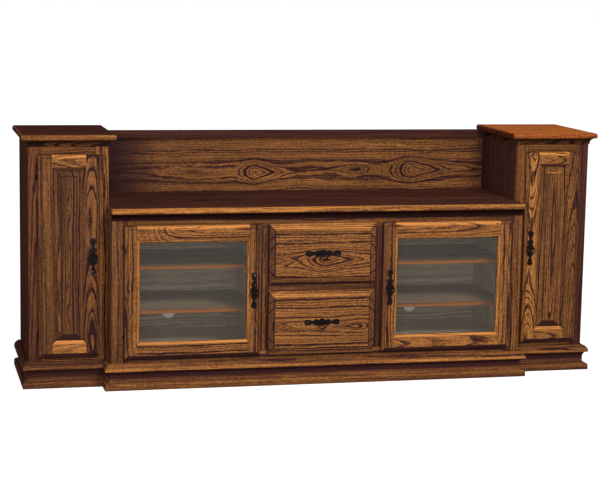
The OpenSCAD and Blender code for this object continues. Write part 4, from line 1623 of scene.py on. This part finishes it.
@dataclass
class Door:
    """A door's frame: four boards, rounded outside, with a moulding round the opening."""

    side: Side
    kind: str
    inner: float
    outer: float
    low: float
    top: float
    face: float
    stile: float
    low_rail: float
    top_rail: float
    stick: float
    grooved: bool
    thick: float = 0.019
    rim_wide: float = 0.010
    rim_deep: float = 0.006
    rim_step: float = 0.0012
    rim_flats: int = 8
    stick_deep: float = 0.005
    recess: float = 0.007
    groove: float = 0.006
    groove_deep: float = 0.009
    joint: float = 0.00015
    rim_line: float = 0.0025

    @property
    def body(self) -> str:
        """The body that the door is."""
        return f"{self.side.word}_{self.kind}_door"

    @property
    def wide(self) -> float:
        """Width of the door."""
        return self.outer - self.inner

    @property
    def high(self) -> float:
        """Height of the door."""
        return self.top - self.low

    def place(self) -> Matrix:
        """The move from the middle of its lower edge to its place."""
        middle = (self.inner + self.outer) / 2
        return self.side.place() @ Matrix.Translation((middle, self.face, self.low))

    def blank(self) -> BMesh:
        """Makes the door as one slab, with its rounded outer edge.

        Returns:
            The slab.
        """
        turns = [math.pi / 2 * i / self.rim_flats for i in range(self.rim_flats + 1)]
        rim = [(self.rim_wide * (1 - math.cos(a)), self.rim_deep * math.sin(a)) for a in turns]
        steps = [(b[0] - a[0], b[1] - a[1]) for a, b in zip(rim, rim[1:])]
        steps += [(HAIR / 2, self.rim_step), (self.rim_line, 0.0)]
        y = (self.rim_deep + self.rim_step, self.thick)
        return raised_slab(((-self.wide / 2, self.wide / 2), y, (0, self.high)), steps)

    def stick_section(self) -> list[Point]:
        """Draws the section of the moulding round the opening.

        Returns:
            Its corners, outwards negative and z backwards.
        """
        out, back = -self.stick, self.recess + self.groove
        curve = arc((0.0, self.stick_deep), (out, self.stick_deep - self.rim_step), -90, 0)
        if not self.grooved:
            return [*curve, (out, self.recess), (0, self.recess)]
        floor = out + self.groove_deep
        groove = ((out, self.recess), (floor, self.recess), (floor, back), (out, back))
        return [*curve, *groove, (out, self.thick), (0, self.thick)]

    def strip(self, length: float, corner: Point, turn: float) -> BMesh:
        """One length of the moulding round the opening.

        Args:
            length: Length along the board.
            corner: Where it starts, in x and z.
            turn: Angle of its run in the door's face, in radians.

        Returns:
            The strip.
        """
        bar = moulding(self.stick_section(), length, self.stick, End.INWARD, End.INWARD)
        stand = Matrix.Rotation(-math.pi / 2, 4, "X")
        start = Matrix.Translation((corner[0], 0, corner[1]))
        bar.transform(start @ Matrix.Rotation(-turn, 4, "Y") @ stand)
        return bar

    def frame(self, figures: Sequence[Figure], stick_lights: Sequence[float]) -> None:
        """Builds the frame.

        Args:
            figures: Figures of the left stile, right stile, low rail and top rail.
            stick_lights: Painted light and shade on the moulding round the opening, in the
                same order.
        """
        half = self.wide / 2
        inner = half - (self.stile - self.stick)
        low = self.low_rail - self.stick
        top = self.high - self.top_rail + self.stick
        thick = (0.0, self.thick)
        slab = ((-half, half), (0, self.high), self.rim_wide + self.rim_line)
        line = self.rim_line + 0.0002
        # Painted shade on the stiles' rounded rims and edges, deepest at the foot; on the
        # rails painted shade below and a painted highlight above.
        stile_light = SlabLight(
            *slab, (-0.3, -0.3, -0.97, -0.3), (-0.8, -0.8, -0.97, -0.85), line
        )
        rail_light = SlabLight(*slab, (0, 0, -0.97, 0.8), (0, 0, -0.97, 0.4), line)
        stiles = [
            (
                Lay.UPRIGHT,
                (tuple(sorted((sign * inner, sign * half))), thick, (0, self.high)),
                stile_light, [(sign * (inner + self.joint), 0, -sign, 0)],
                (top - low, (sign * inner, start), sign * math.pi / 2),
            )
            for sign, start in ((-1, top), (1, low))
        ]
        across = [(sign * (inner - self.joint), 0, sign, 0) for sign in (-1, 1)]
        rails = [
            (
                Lay.LYING, ((-inner, inner), thick, z), rail_light,
                [*across, (0, start, 0, sign)], (2 * inner, (-sign * inner, start), turn),
            )
            for sign, start, z, turn in (
                (1, low, (0.0, low), 0.0), (-1, top, (top, self.high), math.pi)
            )
        ]
        work, place = Woodwork(), self.place()
        for (lay, box, painted_light, cuts, run), figure, stick in zip(stiles + rails, figures, stick_lights):
            board = self.blank()
            for x, z, away_x, away_z in cuts:
                saw(board, (x, 0, z), (away_x, 0, away_z))
            work.add(board, lay, box, figure, place, painted_light)
            # The moulding round the opening is lightened or darkened as painted light, by the
            # way its board faces.
            painted_lighting = Facing(stick, stick, stick, stick)
            work.add(self.strip(*run), lay, box, figure, place, painted_lighting, same=True)
        node = self.body + "_frame"
        work.piece(node + "_oak", node, Finish.OAK, self.body)


@dataclass
class GlassDoor(Door):
    """A door with a pane, over one of the console's outer bays."""

    kind: str = "glass"
    inner: float = 0.2267
    outer: float = 0.7167
    low: float = 0.1123
    top: float = 0.5867
    face: float = FRONT - 0.021
    stile: float = 0.053
    low_rail: float = 0.059
    top_rail: float = 0.059
    stick: float = 0.009
    grooved: bool = False

    def build(self) -> None:
        """Builds the door."""
        waves = (Eye(0.03, 0.02, 0.12, 0.02, 0.012), Eye(-0.17, -0.01, 0.1, 0.02, 0.01))
        arches = (Eye(0.21, 0.0, 0.11, 0.4, 0.15),)
        if self.side is Side.LEFT:
            low_rail = Figure(0.06, 0.02, 0.01, 0.15, 0.9)
            top_rail = Figure(-0.02, 0.03, 0.02, 0.1, 0.7, eyes=arches)
        else:
            low_rail = Figure(0.0, 0.034, 0.09, 0.25, 1.3, plain=0.3)
            top_rail = Figure(-0.012, 0.025, 0.07, 0.15, 0.9)
        stiles = (STOCK.figure(), Figure(0.045, 0.03, 0.02, 0.15, 0.7, eyes=waves))
        # The moulding round the pane gets a painted highlight, strongest above the lower rail.
        self.frame((*stiles, low_rail, top_rail), (0.5, 0.5, 0.9, 0.2))


@dataclass
class PierDoor(Door):
    """A door with a raised panel, on one of the piers."""

    kind: str = "pier"
    inner: float = 0.7953
    outer: float = 1.0107
    low: float = 0.1123
    top: float = 0.8317
    face: float = PIER_FRONT - 0.021
    stile: float = 0.060
    low_rail: float = 0.058
    top_rail: float = 0.055
    stick: float = 0.012
    grooved: bool = True
    lap: float = 0.008
    bevel: float = 0.023
    edge_front: float = 0.0072
    edge_back: float = 0.0128
    field_front: float = 0.002
    field_step: float = 0.002
    line: float = 0.004

    def panel(self) -> None:
        """Builds the raised panel."""
        half = self.wide / 2 - self.stile + self.lap
        x, z = (-half, half), (self.low_rail - self.lap, self.high - self.top_rail + self.lap)
        rise = self.edge_front - self.field_front - self.field_step
        steps = [(self.lap, 0.0), *bevel_steps(self.bevel, self.line, rise, self.field_step)]
        box = (x, (self.edge_front, self.edge_back), z)
        # Painted shade on the bevels and along the field's edges, deepest on the lower bevel,
        # a painted highlight on the right panel's upper field edge; the left panel's wash is
        # partly painted shade.
        if self.side is Side.LEFT:
            waves = (Eye(0.1, 0.008, 0.13, 0.012, 0.012), Eye(-0.2, 0.01, 0.1, 0.012, 0.012))
            figure = Figure(0.05, 0.03, 0.01, -0.2, 1.0, 0.25, waves, -0.2)
            shades = (0.0, 0.1, -0.95, -0.2), (-0.5, -0.85, -0.95, -0.85)
        else:
            figure = Figure(0.004, 0.018, 0.05, -0.02, 0.8, plain=-0.3)
            shades = (-0.1, 0.0, -0.95, 0.1), (-0.5, -0.3, -0.95, 0.8)
        painted_light = SlabLight(x, z, self.lap + self.bevel, *shades)
        work, board = Woodwork(), raised_slab(box, steps)
        work.add(board, Lay.UPRIGHT, box, figure, self.place(), painted_light, slope=4.0)
        node = self.body + "_panel"
        work.piece(node + "_oak", node, Finish.OAK, self.body)

    def build(self) -> None:
        """Builds the door and its panel."""
        if self.side is Side.LEFT:
            lenses = (Eye(-0.286, 0.0, 0.09, 0.05, -0.008), Eye(0.17, 0.0, 0.14, 0.06, -0.01))
            # The first stile's heavy wash is partly painted shade, as that side of the door
            # stands darker.
            figures = [
                Figure(0.003, 0.035, 0.07, 0.1, 0.95, 0.4, lenses, -0.9),
                STOCK.figure(-0.25, plain=0.6),
                Figure(0.0, 0.04, 0.1, 0.4, 1.2, plain=0.5),
                Figure(0.0, 0.03, 0.14, 0.2),
            ]
        else:
            wings = (Eye(-0.07, 0.0, 0.34, 1.2, 0.05),)
            figures = [
                Figure(0.0, 0.022, 0.0, 0.25, 0.75, eyes=wings, plain=0.2),
                Figure(0.012, 0.03, 0.08, -0.05, 0.7, plain=0.2),
                Figure(0.0, 0.03, 0.15, 0.2, 0.8),
                Figure(0.006, 0.04, 0.12, 0.1, 0.8, plain=0.2),
            ]
        # The moulding round the panel gets a painted highlight above the lower rail and
        # painted shade on the stiles and under the top rail.
        self.frame(figures, (-0.3, -0.3, 0.9, -0.8))
        self.panel()


@dataclass
class Drawer:
    """A drawer, whose bevelled front is new and whose box stays as it is.

    Args:
        word: Its word in the names of pieces.
        low: Bottom of its front.
        top: Top of its front.
        figure: Where its front lay in the log.
        painted_lighting: How strongly its upper bevel is lightened as a painted highlight.
    """

    word: str
    low: float
    top: float
    figure: Figure
    painted_lighting: float
    wide: float = 0.3934
    face: float = FRONT - 0.021
    thick: float = 0.019
    edge: float = 0.012
    bevel: float = 0.022
    line: float = 0.004
    field_step: float = 0.002

    def build(self) -> None:
        """Builds the drawer's front."""
        x, z = (-self.wide / 2, self.wide / 2), (self.low, self.top)
        rise = self.thick - self.edge
        box = (x, (self.face + rise, self.face + self.thick), z)
        steps = bevel_steps(self.bevel, self.line, rise - self.field_step, self.field_step)
        # Painted shade on the side and lower bevels and along three edges of the field; a
        # painted highlight on the upper bevel and its edge.
        shades = (-0.65, -0.4, -0.4, self.painted_lighting), (-0.97, -0.9, -0.97, 0.3)
        painted_light = SlabLight(x, z, self.bevel, *shades)
        work, board = Woodwork(), raised_slab(box, steps)
        work.add(board, Lay.LYING, box, self.figure, painted_light=painted_light, slope=4.0)
        node = self.word + "_drawer_front"
        work.piece(node + "_oak", node, Finish.OAK, self.word + "_drawer")


@dataclass
class Kept:
    """The plain solids whose shape is right, which only get their finish."""

    drawers: tuple[str, ...] = ("upper_drawer", "lower_drawer")

    def build(self) -> None:
        """Gives each kept solid its finish."""
        sides = [side.word for side in Side]
        doors = [f"{side}_{kind}_door" for side in sides for kind in ("glass", "pier")]
        movers = [*doors, *self.drawers]
        hinges = [f"{door}_hinges" for door in doors]
        slides = [f"{drawer}_slides" for drawer in self.drawers]
        for finish, names in (
            (Finish.METAL, ["frame_hinge_leaves", *hinges, *(f"{m}_pull" for m in movers)]),
            (Finish.RING_METAL, [f"{mover}_ring" for mover in movers]),
            (Finish.BACK, ["console_back_panels"]),
            (Finish.INSIDE_ACROSS, ["cabinet_floors", "pier_shelves"]),
            (Finish.INSIDE_UPRIGHT, ["console_dividers", "pier_back_panels"]),
            (Finish.STEEL, ["drawer_runners", "shelf_supports", *slides]),
            (Finish.HIDDEN, [f"{side}_glass_stops" for side in sides]),
            (Finish.DRAWER, [f"{drawer}_box" for drawer in self.drawers]),
            (Finish.GLASS, [f"{side}_glass_pane" for side in sides]),
        ):
            for name in names:
                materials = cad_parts[name].data.materials
                materials.clear()
                materials.append(finish.material())
                log.info("%s keeps its shape", name)


@dataclass
class Studio:
    """The floor, the lamps and the camera."""

    eye: tuple[float, float, float] = (-1.54067, -6.30794, 1.44964)
    yaw: float = 0.2352
    pitch: float = 0.1521
    roll: float = 0.0177
    lens: float = 105.6
    aim: tuple[float, float, float] = (0.0, 0.0, 0.42)
    floor_size: float = 60.0
    around: float = 0.18
    glow: float = 0.88
    # Edges of the floor's painted shadow behind the unit: across, away, start and softness.
    shadow: tuple[tuple[float, float, float, float], ...] = (
        (1.0, -0.07, -1.05, 0.3),
        (-1.0, 0.42, -1.08, 0.3),
        (0.0, 1.0, -0.13, 0.05),
        (0.0, -1.0, -2.7, 1.6),
    )

    def lamp(
        self, name: str, spot: Sequence[float], size: float, power: float,
        tint: Sequence[float],
    ) -> None:
        """Hangs one square soft lamp, turned to the unit.

        Args:
            name: Name of the lamp.
            spot: Its place.
            size: Length of its side.
            power: Its power in watts.
            tint: Its colour.
        """
        data = bpy.data.lights.new(name, "AREA")
        data.shape = "SQUARE"
        data.size, data.energy, data.color = size, power, tint
        item = put(name, data)
        item.location = spot
        to_unit = Vector(self.aim) - Vector(spot)
        item.rotation_euler = to_unit.to_track_quat("-Z", "Y").to_euler()

    def floor(self) -> None:
        """Lays the pale floor, white to the camera, with a painted shadow behind the unit."""
        bm = bmesh.new()
        bmesh.ops.create_grid(bm, x_segments=1, y_segments=1, size=self.floor_size)
        mesh = bpy.data.meshes.new("studio_floor")
        bm.to_mesh(mesh)
        bm.free()
        item = put("studio_floor", mesh)
        r = Recipe(bpy.data.materials.new("pale_floor"))
        place = r.place()
        strength = r.level(r.vector_math("LENGTH", place)["Value"], 1.2, 4.0, (self.glow, 1.0))
        # The glow is cut in a wedge behind the unit as a painted shadow.
        shade = -self.glow
        for across, away, start, soft in self.shadow:
            edge = r.vector_math("DOT_PRODUCT", place, (across, away, 0.0))["Value"]
            shade = r.product(shade, r.level(edge, start, start + soft))
        strength = r.product(strength, r.math("ADD", 1.0, shade))
        lit = r.add("BsdfDiffuse", {}, (0.4, 0.4, 0.4, 1))
        glow = r.add("Emission", {}, (1, 1, 1, 1), strength)
        bright = r.add("AddShader", {}, lit[0], glow[0])
        dull = r.add("BsdfDiffuse", {}, (0.3, 0.28, 0.26, 1))
        both = r.add("MixShader", {}, r.seen(), dull[0], bright[0])
        r.add("OutputMaterial", {}, both[0])
        mesh.materials.append(r.owner)

    def surround(self) -> None:
        """Sets a white surround for the camera and the glass, and a dim one for the wood."""
        world = bpy.data.worlds.new("studio")
        r = Recipe(world)
        strength = r.level(r.seen(), 0.0, 1.0, (self.around, 1.0))
        back = r.add("Background", {}, (1.0, 1.0, 1.0, 1.0), strength)
        r.add("OutputWorld", {}, back[0])
        bpy.context.scene.world = world

    def camera(self) -> None:
        """Sets the camera where the photograph was taken from."""
        data = bpy.data.cameras.new("camera")
        data.lens, data.sensor_width = self.lens, 36.0
        data.clip_start, data.clip_end = 0.1, 200.0
        turns = ((-self.yaw, "Z"), (math.pi / 2 - self.pitch, "X"), (self.roll, "Z"))
        move = Matrix.Translation(self.eye)
        for angle, axis in turns:
            move = move @ Matrix.Rotation(angle, 4, axis)
        item = put("camera", data)
        item.matrix_world = move
        bpy.context.scene.camera = item

    def build(self) -> None:
        """Sets up the studio."""
        self.camera()
        self.floor()
        self.surround()
        self.lamp("key_lamp", (1.0, -4.6, 4.0), 1.6, 245.0, (1.0, 0.97, 0.92))
        self.lamp("fill_lamp", (-1.2, -6.2, 1.1), 2.4, 128.0, (0.97, 0.98, 1.0))
        self.lamp("side_lamp", (-5.6, -1.8, 2.2), 2.0, 110.0, (1.0, 0.97, 0.95))
        bpy.context.scene.view_settings.view_transform = "Standard"


def main() -> None:
    """Builds and dresses the wall unit."""
    logging.basicConfig(level=logging.INFO, format="%(name)s: %(message)s")
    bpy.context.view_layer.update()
    parts = [Studio(), Kept(), Console(), Bridge()]
    for side in Side:
        parts += [Pier(side), GlassDoor(side), PierDoor(side)]
    eyes = (Eye(0.01, 0.0245, 0.11, 0.042, -0.036), Eye(-0.165, 0.03, 0.045, 0.012, 0.03))
    figure = Figure(0.0245, 0.06, 0.0, 0.05, 1.1, eyes=eyes)
    parts.append(Drawer("upper", 0.3723, 0.5867, figure, 0.8))
    eyes = (Eye(0.126, 0.018, -0.06, 0.014, -0.02), Eye(-0.158, 0.016, 0.035, 0.01, 0.02))
    figure = Figure(0.017, 0.055, 0.0, 0.15, 1.1, eyes=eyes)
    parts.append(Drawer("lower", 0.1123, 0.3427, figure, 0.35))
    for part in parts:
        part.build()


if __name__ == "__main__":
    main()
